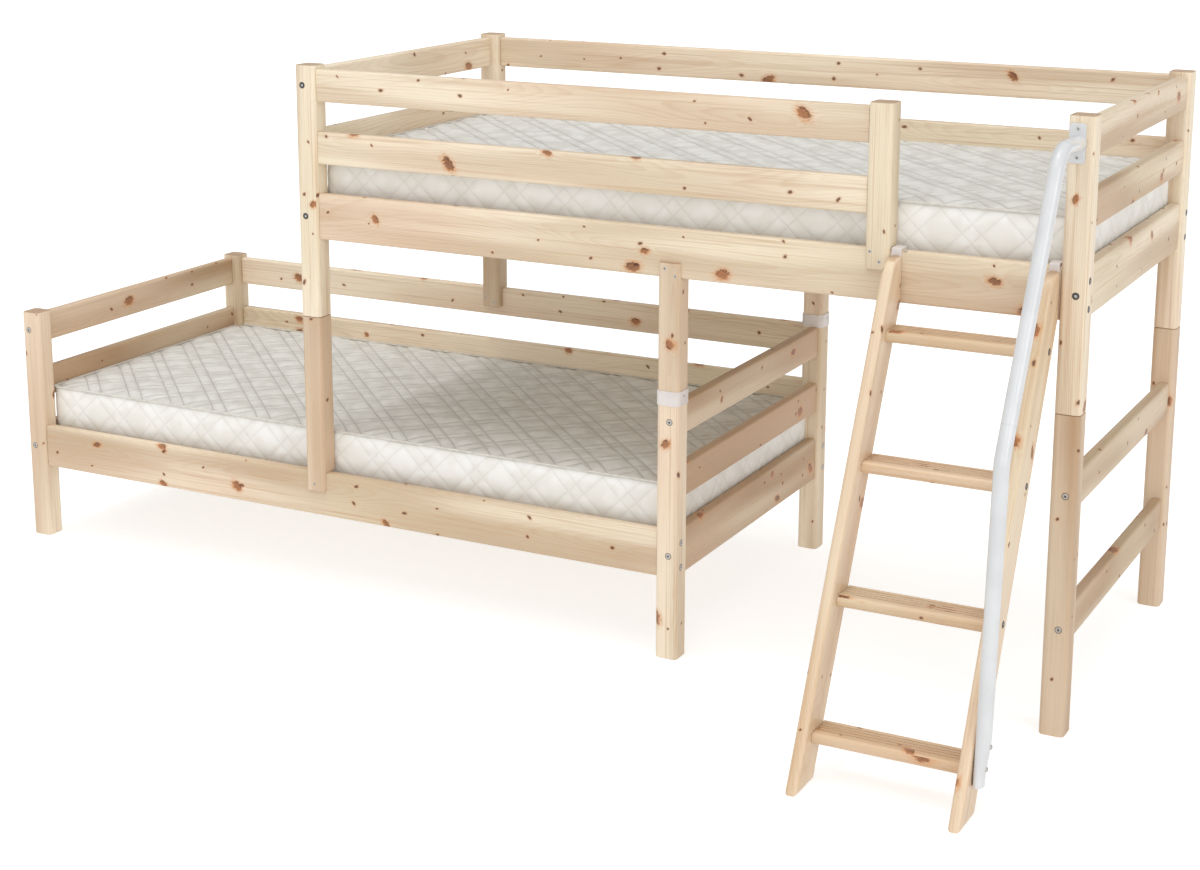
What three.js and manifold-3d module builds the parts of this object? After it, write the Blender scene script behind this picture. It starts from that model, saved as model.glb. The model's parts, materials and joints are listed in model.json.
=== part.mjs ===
// A pine loft bed that stands offset over a single bed, with a slanted ladder and a handrail.
// Both beds are the same frame: four posts, side and end rails, guard slats, a slatted base
// and a mattress. The upper frame stands on two legs at its right end. At its left end two
// hangers sit on the boards of the lower bed, each with a lap down one side of its board, and
// two supports stand on the lower bed's right posts and lap the upper side rails.
// Millimetres, +Z up, +X along the beds, -Y towards the ladder.
import * as THREE from "three";
import { mergeVertices } from "three/addons/utils/BufferGeometryUtils.js";
import Module from "manifold-3d";

const wasm = await Module();
wasm.setup();

// Bed frame
const bedLength = 2100;
const bedWidth = 1000;
const loftShift = 985; // how far the upper bed is set along X from the lower one
const loftRise = 96; // from the tops of the lower bed's posts to the underside of the upper's

// Posts
const postSize = 60;
const postHeight = 670;
const postArris = 12; // radius of the four long edges
const postEase = 3; // chamfer round each end
const spigotDiameter = 16;
const spigotLength = 40;
const spigotGap = 0.4; // round the spigot, and under its tip
const spigotRoot = 2; // how far a spigot is let into its own post
const spigotSides = 12;

// Boards
const boardThickness = 28;
const boardSetBack = 10; // from the outer face of a post to the outer face of a board
const boardEdge = 6; // radius of the four long edges
const boardEase = 1.5; // chamfer round each end
const railHeight = 122;
const railBottom = 211;
const slatHeight = 85;
const topSlatDrop = 10; // from the post's top to the top slat
const seatGap = 0.3; // between faces that bear on each other

// Laps of the pieces that sit on the edge of a board
const hangerLap = 52;
const backHangerLap = 56;
const supportLap = 38;
const guardPostLap = 48;
const entryWidth = 398; // clear way in between the guard post and the end post

// Collars round the joints of the supports
const collarHeight = 32;
const collarWall = 2.2;
const collarGap = 0.4;
const collarSink = 9; // how far the collar reaches below the joint
const collarEase = 0.6;

// Cross rails between the two legs
const lowCrossRail = 260; // from the floor to its middle
const highCrossRailDrop = 188; // from the legs' tops to its middle

// Slatted base
const cleatSize = 28;
const cleatEndGap = 4;
const cleatDrop = 51; // from the rail's top to the cleat's top
const baseSlatCount = 15;
const baseSlatWidth = 70;
const baseSlatThickness = 18;
const baseSideGap = 2;
const strapWidth = 28;
const strapThickness = 2;
const strapInset = 230; // from the slat's end to the middle of a strap
const strapEndInset = 1;

// Mattress
const mattressHeight = 150;
const mattressEndGap = 12;
const mattressSideGap = 0.8;
const mattressCornerGap = 3;
const mattressCrown = 7;
const quiltDepth = 5;
const quiltAlong = 28; // half diamonds along the mattress
const quiltAcross = 12;
const bindingRadius = 5;
const footDraw = 5; // how far the side draws in at its foot
const seamDraw = 2.5; // how far the seam under the binding draws in

// Ladder
const footReach = 566; // the foot stands this far in front of the posts
const stringerWidth = 95;
const stringerThickness = 28;
const stringerEdge = 9;
const stringerTopDrop = 10; // from the rail's top to the stringer's top
const stringerTopRound = 46; // how far down its front edge the round top starts
const stringerTopFlat = 16; // flat left at the top beside the rail
const leanRise = 4; // the rear edge meets the rail this far above the rail's lower edge
const ladderSideGap = 2;
const treadCount = 4;
const lowTreadLevel = 117; // from the floor to the lowest tread's top
const highTreadDrop = 44; // from the rail's lower edge down to the highest tread's top
const treadThickness = 27;
const treadCorner = 3; // radius along the rear edges
const treadNoseSetBack = 26;
const treadNose = 11;
const treadGrooves = 4;
const grooveWidth = 4;
const grooveDepth = 1.6;
const groovePitch = 13;
const grooveInset = 20; // from the nose to the first groove's middle

// Hooks that hang the ladder on the rail
const hookWidth = 24;
const hookPlate = 4;
const hookCap = 7;
const hookLeg = 58;
const hookLip = 24;
const hookRound = 3;
const hookEase = 0.6;

// Handrail
const tubeDiameter = 34;
const tubeSides = 14;
const tubeBend = 70; // radius of the bends, on the centre line
const tubeGap = 0.5; // beside the stringer
const sleeveDiameter = 28;
const sleeveLength = 50;
const footRise = 78; // height of the tube's lower end
const footSetForward = 9; // the lower end lies this far in front of the stringer's middle
const flatHalf = 9; // half the thickness of the pressed lower end
const flatLength = 120;
const flatSpread = 0.6; // how far the pressed end widens for each millimetre it is flattened
const flatSteps = 5;
const kneeRise = 9; // from the legs' tops up to the knee
const kneeRun = 47; // how far the tube leans back from its foot up to the knee
const kneeSteps = 6;
const jointRise = 76; // from the knee up to the joint of the two tubes
const elbowReach = 165; // in front of the post
const elbowRise = 8; // from the plate's middle up to the elbow
const elbowSteps = 10;
const plateDrop = 60; // from the post's top to the plate's middle
const plateWidth = 38;
const plateLength = 86;
const plateThickness = 4;
const plateCorner = 6;
const plateEase = 0.5;
const weldDepth = 2; // how far the sleeve reaches into the upper tube

const overcut = 1; // how far a cutter runs past the face it opens

// Places worked out from the sizes above
const overallLength = loftShift + bedLength;
const loftLift = postHeight + loftRise; // from the floor to the underside of the upper posts
const railTop = railBottom + railHeight;
const topSlatBottom = postHeight - topSlatDrop - slatHeight;
const middleSlatBottom = (railTop + topSlatBottom - slatHeight) / 2;
const boardInner = boardSetBack + boardThickness;
const cleatTop = railTop - cleatDrop;
const guardPostRight = bedLength - postSize - entryWidth;
const loftRailTop = loftLift + railTop;
const loftRailBottom = loftLift + railBottom;

const pine = new THREE.MeshStandardMaterial({ color: 0xdfc095, roughness: 0.55, metalness: 0 });
const lacqueredPine = new THREE.MeshStandardMaterial({ color: 0xe3c79b, roughness: 0.4, metalness: 0 });
const birch = new THREE.MeshStandardMaterial({ color: 0xe0cba4, roughness: 0.6, metalness: 0 });
const ticking = new THREE.MeshStandardMaterial({ color: 0xe9e6dd, roughness: 0.95, metalness: 0 });
const whiteSteel = new THREE.MeshStandardMaterial({ color: 0xf2f3f3, roughness: 0.3, metalness: 0 });
const whitePlastic = new THREE.MeshStandardMaterial({ color: 0xf0ebe8, roughness: 0.5, metalness: 0 });

// Solids and meshes

function solidOf(geometry) {
  const bare = geometry.clone();
  bare.deleteAttribute("normal");
  bare.deleteAttribute("uv");
  const merged = mergeVertices(bare, 1e-4);
  const vertProperties = merged.attributes.position.array;
  const triVerts = new Uint32Array(merged.index.array);
  return new wasm.Manifold(new wasm.Mesh({ numProp: 3, vertProperties, triVerts }));
}

function geometryOf(solid) {
  const mesh = solid.getMesh();
  const geometry = new THREE.BufferGeometry();
  geometry.setAttribute("position", new THREE.BufferAttribute(mesh.vertProperties, 3));
  geometry.setIndex(new THREE.BufferAttribute(mesh.triVerts, 1));
  geometry.computeVertexNormals();
  return geometry;
}

function cut(geometry, tools) {
  const result = tools.reduce((body, tool) => body.subtract(solidOf(tool)), solidOf(geometry));
  return geometryOf(result);
}

function join(geometries) {
  const result = geometries.map(solidOf).reduce((body, other) => body.add(other));
  return geometryOf(result);
}

// A plain block between two corners.
function block(low, high) {
  const size = high.map((value, axis) => value - low[axis]);
  const middle = high.map((value, axis) => (value + low[axis]) / 2);
  return new THREE.BoxGeometry(...size).translate(...middle);
}

function roundedRectangle(width, height, radius) {
  const shape = new THREE.Shape();
  shape.absarc(width - radius, radius, radius, -Math.PI / 2, 0);
  shape.absarc(width - radius, height - radius, radius, 0, Math.PI / 2);
  shape.absarc(radius, height - radius, radius, Math.PI / 2, Math.PI);
  shape.absarc(radius, radius, radius, Math.PI, 1.5 * Math.PI);
  shape.closePath();
  return shape;
}

// Pushes an outline out to a length. ease rounds off both ends, in easeSteps, and each
// curve of the outline is drawn in arcSteps.
function extrude(shape, length, { ease = 0, easeSteps = 1, arcSteps = 2 } = {}) {
  return new THREE.ExtrudeGeometry(shape, {
    depth: length - 2 * ease,
    bevelEnabled: ease > 0,
    bevelThickness: ease,
    bevelSize: ease,
    bevelOffset: -ease,
    bevelSegments: easeSteps,
    curveSegments: arcSteps,
  }).translate(0, 0, ease);
}

// Turns an outline drawn in Y and Z, and pushed out along its own normal, to lie along X.
const layAlongX = new THREE.Matrix4().makeBasis(
  new THREE.Vector3(0, 1, 0),
  new THREE.Vector3(0, 0, 1),
  new THREE.Vector3(1, 0, 0),
);

// A board along X with its thickness in Y: x from 0 to length, y from 0, z from 0.
function boardAlongX(length, height) {
  const outline = roundedRectangle(boardThickness, height, boardEdge);
  return extrude(outline, length, { ease: boardEase }).applyMatrix4(layAlongX);
}

// The same board turned to run along Y, with its thickness in X.
function boardAlongY(length, height) {
  return boardAlongX(length, height)
    .rotateZ(Math.PI / 2)
    .translate(boardThickness, 0, 0);
}

function post(height) {
  return extrude(roundedRectangle(postSize, postSize, postArris), height, { ease: postEase });
}

// A round pin on the post's axis from one height to another.
function pin(diameter, from, to) {
  return new THREE.CylinderGeometry(diameter / 2, diameter / 2, to - from, spigotSides)
    .rotateX(Math.PI / 2)
    .translate(postSize / 2, postSize / 2, (from + to) / 2);
}

// A post with a bore in its top or underside, to take the spigot of the piece it meets.
function boredPost(height, atTop) {
  const bore = spigotDiameter + 2 * spigotGap;
  const depth = spigotLength + spigotGap;
  const from = atTop ? height - depth : -overcut;
  const to = atTop ? height + overcut : depth;
  return cut(post(height), [pin(bore, from, to)]);
}

function mesh(name, geometry, material, x, y, z) {
  const piece = new THREE.Mesh(geometry, material);
  piece.name = name;
  piece.position.set(x, y, z);
  return piece;
}

// Bed frame, the same for both levels

function addPosts(frame, level, bores) {
  const places = {
    front_left: [0, 0],
    front_right: [bedLength - postSize, 0],
    back_left: [0, bedWidth - postSize],
    back_right: [bedLength - postSize, bedWidth - postSize],
  };
  for (const [corner, [x, y]] of Object.entries(places)) {
    const end = bores[corner];
    const geometry = end ? boredPost(postHeight, end === "top") : post(postHeight);
    frame.add(mesh(`${level}_post_${corner}`, geometry, pine, x, y, 0));
  }
}

const sideStart = postSize + seatGap;
const sideSpan = bedLength - 2 * sideStart;
const endSpan = bedWidth - 2 * sideStart;
const backBoardY = bedWidth - boardInner;

function addSideBoard(frame, name, y, z, height, span) {
  frame.add(mesh(name, boardAlongX(span, height), pine, sideStart, y, z));
}

function addSides(frame, level) {
  addSideBoard(frame, `${level}_side_rail_front`, boardSetBack, railBottom, railHeight, sideSpan);
  addSideBoard(frame, `${level}_side_rail_back`, backBoardY, railBottom, railHeight, sideSpan);
  addSideBoard(frame, `${level}_back_slat_middle`, backBoardY, middleSlatBottom, slatHeight, sideSpan);
  addSideBoard(frame, `${level}_back_slat_top`, backBoardY, topSlatBottom, slatHeight, sideSpan);
}

function addEnd(frame, level, side, x) {
  const boards = {
    rail: [railBottom, railHeight],
    slat_middle: [middleSlatBottom, slatHeight],
    slat_top: [topSlatBottom, slatHeight],
  };
  for (const [name, [z, height]] of Object.entries(boards)) {
    const geometry = boardAlongY(endSpan, height);
    frame.add(mesh(`${level}_${side}_end_${name}`, geometry, pine, x, sideStart, z));
  }
}

function addCleats(frame, level) {
  const start = postSize + cleatEndGap;
  const length = bedLength - 2 * start;
  const places = {
    front: boardInner + seatGap,
    back: backBoardY - cleatSize - seatGap,
  };
  for (const [side, y] of Object.entries(places)) {
    const geometry = block([0, 0, 0], [length, cleatSize, cleatSize]);
    frame.add(mesh(`${level}_cleat_${side}`, geometry, pine, start, y, cleatTop - cleatSize));
  }
}

// Loose slats held at their pitch by two straps under them, as one roll.
function slattedBase() {
  const first = postSize + cleatEndGap;
  const pitch = (bedLength - 2 * first - baseSlatWidth) / (baseSlatCount - 1);
  const slatLength = bedWidth - 2 * (boardInner + baseSideGap);
  const pieces = [];
  for (let i = 0; i < baseSlatCount; i++) {
    const x = first + i * pitch;
    pieces.push(block([x, 0, 0], [x + baseSlatWidth, slatLength, baseSlatThickness]));
  }
  for (const middle of [strapInset, slatLength - strapInset]) {
    const start = first + strapEndInset;
    const low = [start, middle - strapWidth / 2, -strapThickness / 2];
    const high = [bedLength - start, middle + strapWidth / 2, strapThickness / 2];
    pieces.push(block(low, high));
  }
  return join(pieces);
}

const baseTop = cleatTop + seatGap + baseSlatThickness;

function addBase(frame, level) {
  const y = boardInner + baseSideGap;
  frame.add(mesh(`${level}_slatted_base`, slattedBase(), birch, 0, y, cleatTop + seatGap));
}

// Mattress

const mattressLength = bedLength - 2 * (boardInner + mattressEndGap);
const mattressWidth = bedWidth - boardInner - postSize - 2 * mattressSideGap;

// The least corner radius that clears the inner corner of a back post.
function clearingRadius() {
  const along = postSize - boardInner - mattressEndGap;
  const across = postSize - boardInner - mattressSideGap;
  const reach = along + across + mattressCornerGap;
  return reach + Math.sqrt(Math.max(0, reach ** 2 - along ** 2 - across ** 2));
}

const mattressCorner = clearingRadius();

// Grid lines over the mattress: close ones at the rounded border, half diamonds between.
function gridLines(size, halfDiamonds) {
  const inner = size - 2 * mattressCorner;
  const lines = [0, mattressCorner / 2];
  for (let i = 0; i <= halfDiamonds; i++) {
    lines.push(mattressCorner + (inner * i) / halfDiamonds);
  }
  lines.push(size - mattressCorner / 2, size);
  return lines;
}

// Draws a point of the corner square in on to the quarter circle of the corner.
function roundCorner(x, y) {
  const toX = Math.max(mattressCorner - x, 0) - Math.max(x - mattressLength + mattressCorner, 0);
  const toY = Math.max(mattressCorner - y, 0) - Math.max(y - mattressWidth + mattressCorner, 0);
  if (toX === 0 || toY === 0) return [x, y];
  const scale = Math.max(Math.abs(toX), Math.abs(toY)) / Math.hypot(toX, toY);
  return [x + toX * (1 - scale), y + toY * (1 - scale)];
}

// Height of the quilted top over the binding: a crown with stitched valleys.
function quiltHeight(x, y, column, row) {
  const acrossX = 1 - ((2 * x) / mattressLength - 1) ** 4;
  const acrossY = 1 - ((2 * y) / mattressWidth - 1) ** 4;
  const crown = mattressCrown * acrossX * acrossY;
  const stitched = (column + row) % 2 === 0 ? quiltDepth : 0;
  return crown + quiltDepth - stitched;
}

// Height of the binding round the top's edge.
const binding = mattressHeight - mattressCrown - quiltDepth;

// The side's rings from under the binding to the foot: how far each lies in, and its height.
function sideRings() {
  return [
    [0, binding - bindingRadius / 2],
    [seamDraw, binding - (3 * bindingRadius) / 2],
    [seamDraw / 2, binding - 3 * bindingRadius],
    [0, binding / 2],
    [footDraw / 4, 2 * bindingRadius],
    [footDraw, 0],
  ];
}

function mattress() {
  const xs = gridLines(mattressLength, quiltAlong);
  const ys = gridLines(mattressWidth, quiltAcross);
  const lastX = xs.length - 1;
  const lastY = ys.length - 1;
  const points = [];
  const faces = [];
  const topAt = (i, j) => i * ys.length + j;
  const border = (i, j) => i === 0 || j === 0 || i === lastX || j === lastY;
  for (let i = 0; i <= lastX; i++) {
    for (let j = 0; j <= lastY; j++) {
      const [x, y] = roundCorner(xs[i], ys[j]);
      const z = border(i, j) ? binding : binding + quiltHeight(x, y, i, j);
      points.push([x, y, z]);
    }
  }
  for (let i = 0; i < lastX; i++) {
    for (let j = 0; j < lastY; j++) {
      const [a, b, c, d] = [topAt(i, j), topAt(i + 1, j), topAt(i + 1, j + 1), topAt(i, j + 1)];
      if ((i + j) % 2 === 0) faces.push([a, b, c], [a, c, d]);
      else faces.push([a, b, d], [b, c, d]);
    }
  }
  const rim = [];
  for (let i = 0; i < lastX; i++) rim.push(topAt(i, 0));
  for (let j = 0; j < lastY; j++) rim.push(topAt(lastX, j));
  for (let i = lastX; i > 0; i--) rim.push(topAt(i, lastY));
  for (let j = lastY; j > 0; j--) rim.push(topAt(0, j));
  addMattressSides(points, faces, rim);
  const geometry = new THREE.BufferGeometry();
  geometry.setAttribute("position", new THREE.Float32BufferAttribute(points.flat(), 3));
  geometry.setIndex(faces.flat());
  geometry.computeVertexNormals();
  return geometry;
}

// Rings of points from the binding down to the foot, then the flat underside.
function addMattressSides(points, faces, rim) {
  const middleX = mattressLength / 2;
  const middleY = mattressWidth / 2;
  let above = rim;
  for (const [inset, z] of sideRings()) {
    const ring = rim.map((index) => {
      const [x, y] = points[index];
      const drawnX = x + ((middleX - x) * inset) / middleX;
      const drawnY = y + ((middleY - y) * inset) / middleY;
      points.push([drawnX, drawnY, z]);
      return points.length - 1;
    });
    joinRings(faces, ring, above);
    above = ring;
  }
  const outline = above.map((index) => new THREE.Vector2(points[index][0], points[index][1]));
  for (const [a, b, c] of THREE.ShapeUtils.triangulateShape(outline, [])) {
    faces.push([above[c], above[b], above[a]]);
  }
}

function joinRings(faces, lower, upper) {
  lower.forEach((point, i) => {
    const next = (i + 1) % lower.length;
    faces.push([point, lower[next], upper[next]], [point, upper[next], upper[i]]);
  });
}

function addMattress(frame, level) {
  const x = boardInner + mattressEndGap;
  const y = postSize + mattressSideGap;
  frame.add(mesh(`${level}_mattress`, mattress(), ticking, x, y, baseTop + seatGap));
}

function bedFrame(level, bores) {
  const frame = new THREE.Group();
  addPosts(frame, level, bores);
  addSides(frame, level);
  addEnd(frame, level, "left", boardSetBack);
  addEnd(frame, level, "right", bedLength - boardInner);
  addCleats(frame, level);
  addBase(frame, level);
  addMattress(frame, level);
  return frame;
}

// Pieces of post that sit on the edge of a board

// A piece of post with all but its lap cut away from one height to another. A front piece
// laps the outer face of its board, and a back piece the inner face, so the lap is the part
// of the section with the lower y.
function lapPost(height, seatFrom, seatTo, frontPiece) {
  const boardLow = frontPiece ? boardSetBack : postSize - boardInner;
  const low = [-overcut, boardLow - seatGap, seatFrom];
  const high = [postSize + overcut, postSize + overcut, seatTo];
  return cut(post(height), [block(low, high)]);
}

function withSpigot(body, height, atTop) {
  const from = atTop ? height - spigotRoot : -spigotLength;
  const to = atTop ? height + spigotLength : spigotRoot;
  return join([body, pin(spigotDiameter, from, to)]);
}

// The upper bed's left posts end in hangers that sit on the lower bed's boards.
function hanger(bottom, boardTop, frontPiece) {
  const height = loftLift - seatGap - bottom;
  const seat = boardTop + seatGap - bottom;
  return withSpigot(lapPost(height, -overcut, seat, frontPiece), height, true);
}

function addHangers(group) {
  const frontBottom = railTop - hangerLap;
  const backBoardTop = topSlatBottom + slatHeight;
  const backBottom = backBoardTop - backHangerLap;
  const front = hanger(frontBottom, railTop, true);
  const back = hanger(backBottom, backBoardTop, false);
  group.add(mesh("upper_hanger_front", front, pine, loftShift, 0, frontBottom));
  group.add(mesh("upper_hanger_back", back, pine, loftShift, bedWidth - postSize, backBottom));
}

// Supports stand on the lower bed's right posts and carry the upper side rails.
function support(frontPiece) {
  const bottom = postHeight + seatGap;
  const height = loftRailBottom + supportLap - bottom;
  const seat = loftRailBottom - seatGap - bottom;
  const body = lapPost(height, seat, height + overcut, frontPiece);
  return withSpigot(body, height, false);
}

function addSupports(group) {
  const x = bedLength - postSize;
  const z = postHeight + seatGap;
  group.add(mesh("support_front", support(true), pine, x, 0, z));
  group.add(mesh("support_back", support(false), pine, x, bedWidth - postSize, z));
}

// A square sleeve round the joint of a support and its post.
function collar() {
  const reach = collarGap + collarWall;
  const outer = postSize + 2 * reach;
  const inner = postSize + 2 * collarGap;
  const outline = roundedRectangle(outer, outer, postArris + reach);
  const bore = roundedRectangle(inner, inner, postArris + collarGap);
  const shell = extrude(outline, collarHeight, { ease: collarEase });
  const hole = extrude(bore, collarHeight + 2 * overcut).translate(collarWall, collarWall, -overcut);
  return cut(shell, [hole]).translate(-reach, -reach, 0);
}

function addCollars(group) {
  const x = bedLength - postSize;
  const z = postHeight - collarSink;
  group.add(mesh("collar_front", collar(), whitePlastic, x, 0, z));
  group.add(mesh("collar_back", collar(), whitePlastic, x, bedWidth - postSize, z));
}

// Legs under the upper bed's right end, with two cross rails between them.
function leg() {
  const height = loftLift - seatGap;
  return withSpigot(post(height), height, true);
}

function addLegs(group) {
  const x = overallLength - postSize;
  group.add(mesh("leg_front", leg(), pine, x, 0, 0));
  group.add(mesh("leg_back", leg(), pine, x, bedWidth - postSize, 0));
  const railX = overallLength - boardInner;
  [lowCrossRail, loftLift - highCrossRailDrop].forEach((middle, i) => {
    const rail = boardAlongY(endSpan, slatHeight);
    const z = middle - slatHeight / 2;
    group.add(mesh(`leg_cross_rail_${i + 1}`, rail, pine, railX, sideStart, z));
  });
}

// The guard at the front of the upper bed ends at a short post beside the way in.
function addFrontGuard(frame) {
  const guardPostX = guardPostRight - postSize;
  const bottom = railTop - guardPostLap;
  const body = lapPost(postHeight - bottom, -overcut, guardPostLap + seatGap, true);
  frame.add(mesh("upper_guard_post", body, pine, guardPostX, 0, bottom));
  const span = guardPostX - seatGap - sideStart;
  addSideBoard(frame, "upper_front_slat_middle", boardSetBack, middleSlatBottom, slatHeight, span);
  addSideBoard(frame, "upper_front_slat_top", boardSetBack, topSlatBottom, slatHeight, span);
}

// Ladder

const ladderRight = overallLength - postSize - ladderSideGap;
const ladderLeft = loftShift + guardPostRight + ladderSideGap;
const railFace = boardSetBack - seatGap;
const leanHeight = loftRailBottom + leanRise;
const stringerTop = loftRailTop - stringerTopDrop;

// The slope that takes the rear edge from the floor to the rail.
const run = footReach + railFace;
const slope = Math.asin(stringerWidth / Math.hypot(run, leanHeight)) + Math.atan2(leanHeight, run);
const levelWidth = stringerWidth / Math.sin(slope);

// Where the stringer's front edge lies at a height.
function frontEdge(z) {
  return -footReach + z / Math.tan(slope);
}

// The side of a stringer: flat on the floor, upright against the rail, round at the top.
function stringerOutline() {
  const roundStart = stringerTop - stringerTopRound;
  const shape = new THREE.Shape();
  shape.moveTo(frontEdge(0), 0);
  shape.lineTo(frontEdge(0) + levelWidth, 0);
  shape.lineTo(railFace, leanHeight);
  shape.lineTo(railFace, stringerTop);
  shape.lineTo(railFace - stringerTopFlat, stringerTop);
  shape.quadraticCurveTo(frontEdge(stringerTop), stringerTop, frontEdge(roundStart), roundStart);
  shape.closePath();
  return shape;
}

const hookTop = loftRailTop + seatGap + hookCap;
const legEnd = loftRailTop + seatGap - hookLeg;

// The hook's side: a leg let into the stringer, a cap over the rail and a lip behind it.
function hookOutline() {
  const front = railFace - hookPlate;
  const back = boardInner + seatGap + hookPlate;
  const shape = new THREE.Shape();
  shape.moveTo(front, legEnd);
  shape.lineTo(railFace, legEnd);
  shape.lineTo(railFace, loftRailTop + seatGap);
  shape.lineTo(boardInner + seatGap, loftRailTop + seatGap);
  shape.lineTo(boardInner + seatGap, loftRailTop - hookLip);
  shape.lineTo(back, loftRailTop - hookLip);
  shape.lineTo(back, hookTop - hookRound);
  shape.quadraticCurveTo(back, hookTop, back - hookRound, hookTop);
  shape.lineTo(front + hookRound, hookTop);
  shape.quadraticCurveTo(front, hookTop, front, hookTop - hookRound);
  shape.closePath();
  return shape;
}

function hook() {
  return extrude(hookOutline(), hookWidth, { ease: hookEase }).applyMatrix4(layAlongX);
}

function stringer() {
  const rounding = { ease: stringerEdge, easeSteps: 3, arcSteps: 5 };
  const body = extrude(stringerOutline(), stringerThickness, rounding).applyMatrix4(layAlongX);
  const slotWidth = hookWidth + 2 * seatGap;
  const slotStart = (stringerThickness - slotWidth) / 2;
  const low = [slotStart, railFace - hookPlate - seatGap, legEnd - seatGap];
  const high = [slotStart + slotWidth, railFace + overcut, stringerTop + overcut];
  return cut(body, [block(low, high)]);
}

// A tread with a round nose and anti-slip grooves along its top.
function tread(depth, length) {
  const shape = new THREE.Shape();
  const top = treadThickness;
  shape.moveTo(depth - treadCorner, 0);
  shape.quadraticCurveTo(depth, 0, depth, treadCorner);
  shape.lineTo(depth, top - treadCorner);
  shape.quadraticCurveTo(depth, top, depth - treadCorner, top);
  for (let i = treadGrooves - 1; i >= 0; i--) {
    const middle = grooveInset + i * groovePitch;
    shape.lineTo(middle + grooveWidth / 2, top);
    shape.lineTo(middle, top - grooveDepth);
    shape.lineTo(middle - grooveWidth / 2, top);
  }
  shape.absarc(treadNose, top - treadNose, treadNose, Math.PI / 2, Math.PI);
  shape.absarc(treadNose, treadNose, treadNose, Math.PI, 1.5 * Math.PI);
  shape.closePath();
  return extrude(shape, length, { arcSteps: 3 }).applyMatrix4(layAlongX);
}

function addLadder(group) {
  const rightX = ladderRight - stringerThickness;
  group.add(mesh("ladder_stringer_left", stringer(), lacqueredPine, ladderLeft, 0, 0));
  group.add(mesh("ladder_stringer_right", stringer(), lacqueredPine, rightX, 0, 0));
  const treadX = ladderLeft + stringerThickness + seatGap;
  const length = rightX - seatGap - treadX;
  const depth = levelWidth - treadNoseSetBack;
  const rise = (loftRailBottom - highTreadDrop - lowTreadLevel) / (treadCount - 1);
  for (let i = 0; i < treadCount; i++) {
    const level = lowTreadLevel + i * rise;
    const y = frontEdge(level) + treadNoseSetBack;
    const body = tread(depth, length);
    group.add(mesh(`ladder_tread_${i + 1}`, body, lacqueredPine, treadX, y, level - treadThickness));
  }
  const hookInset = (stringerThickness - hookWidth) / 2;
  group.add(mesh("ladder_hook_left", hook(), whitePlastic, ladderLeft + hookInset, 0, 0));
  group.add(mesh("ladder_hook_right", hook(), whitePlastic, rightX + hookInset, 0, 0));
}

// Handrail

const tubeRadius = tubeDiameter / 2;
const tubeFootX = ladderRight + tubeGap + tubeRadius;
const postMiddleX = overallLength - postSize / 2;
const footY = frontEdge(footRise) + levelWidth / 2 - footSetForward;
const plateHeight = loftLift + postHeight - plateDrop;

// The corners of the tube's centre line, from its foot to the plate on the post.
const foot = new THREE.Vector3(tubeFootX, footY, footRise);
const knee = new THREE.Vector3(tubeFootX, footY + kneeRun, loftLift + kneeRise);
const elbow = new THREE.Vector3(postMiddleX, -elbowReach, plateHeight + elbowRise);
const plateMiddle = new THREE.Vector3(postMiddleX, -plateThickness / 2 - seatGap, plateHeight);

// The two tubes meet a little above the knee.
const climb = elbow.clone().sub(knee).normalize();
const tubeJoint = knee.clone().addScaledVector(climb, jointRise);

// Points round the bend between two straight stretches.
function bendPoints(before, corner, after, steps) {
  const back = before.clone().sub(corner).normalize();
  const ahead = after.clone().sub(corner).normalize();
  const half = back.angleTo(ahead) / 2;
  const reach = tubeBend / Math.tan(half);
  const axis = back.clone().add(ahead).normalize();
  const centre = corner.clone().addScaledVector(axis, tubeBend / Math.sin(half));
  const start = corner.clone().addScaledVector(back, reach).sub(centre);
  const end = corner.clone().addScaledVector(ahead, reach).sub(centre);
  const sweep = start.angleTo(end);
  const points = [];
  for (let i = 0; i <= steps; i++) {
    const share = i / steps;
    const fromStart = Math.sin((1 - share) * sweep) / Math.sin(sweep);
    const fromEnd = Math.sin(share * sweep) / Math.sin(sweep);
    const arm = start.clone().multiplyScalar(fromStart).addScaledVector(end, fromEnd);
    points.push(centre.clone().add(arm));
  }
  return points;
}

// A closed body through rings of points, each an array of vectors in the same order.
function loft(rings) {
  const points = rings.flat();
  const sides = rings[0].length;
  const faces = [];
  for (let k = 0; k + 1 < rings.length; k++) {
    const lower = rings[k].map((_, i) => k * sides + i);
    const upper = lower.map((index) => index + sides);
    joinRings(faces, lower, upper);
  }
  const last = (rings.length - 1) * sides;
  for (let i = 1; i + 1 < sides; i++) {
    faces.push([0, i + 1, i], [last, last + i, last + i + 1]);
  }
  const geometry = new THREE.BufferGeometry().setFromPoints(points);
  geometry.setIndex(faces.flat());
  geometry.computeVertexNormals();
  return geometry;
}

// Rings of a tube along a line of points that lies nearly upright in Y and Z.
// halves gives half the width across X and along the other side, at each point.
function tubeRings(line, halves) {
  return line.map((point, k) => {
    const ahead = line[Math.min(k + 1, line.length - 1)].clone();
    const tangent = ahead.sub(line[Math.max(k - 1, 0)]).normalize();
    const depth = new THREE.Vector3().crossVectors(tangent, new THREE.Vector3(1, 0, 0)).normalize();
    const across = new THREE.Vector3().crossVectors(depth, tangent).normalize();
    const [halfAcross, halfDepth] = halves[k];
    return Array.from({ length: tubeSides }, (_, i) => {
      const angle = (2 * Math.PI * i) / tubeSides;
      return point
        .clone()
        .addScaledVector(across, halfAcross * Math.cos(angle))
        .addScaledVector(depth, halfDepth * Math.sin(angle));
    });
  });
}

function roundTube(line, radius) {
  return loft(tubeRings(line, line.map(() => [radius, radius])));
}

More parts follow.
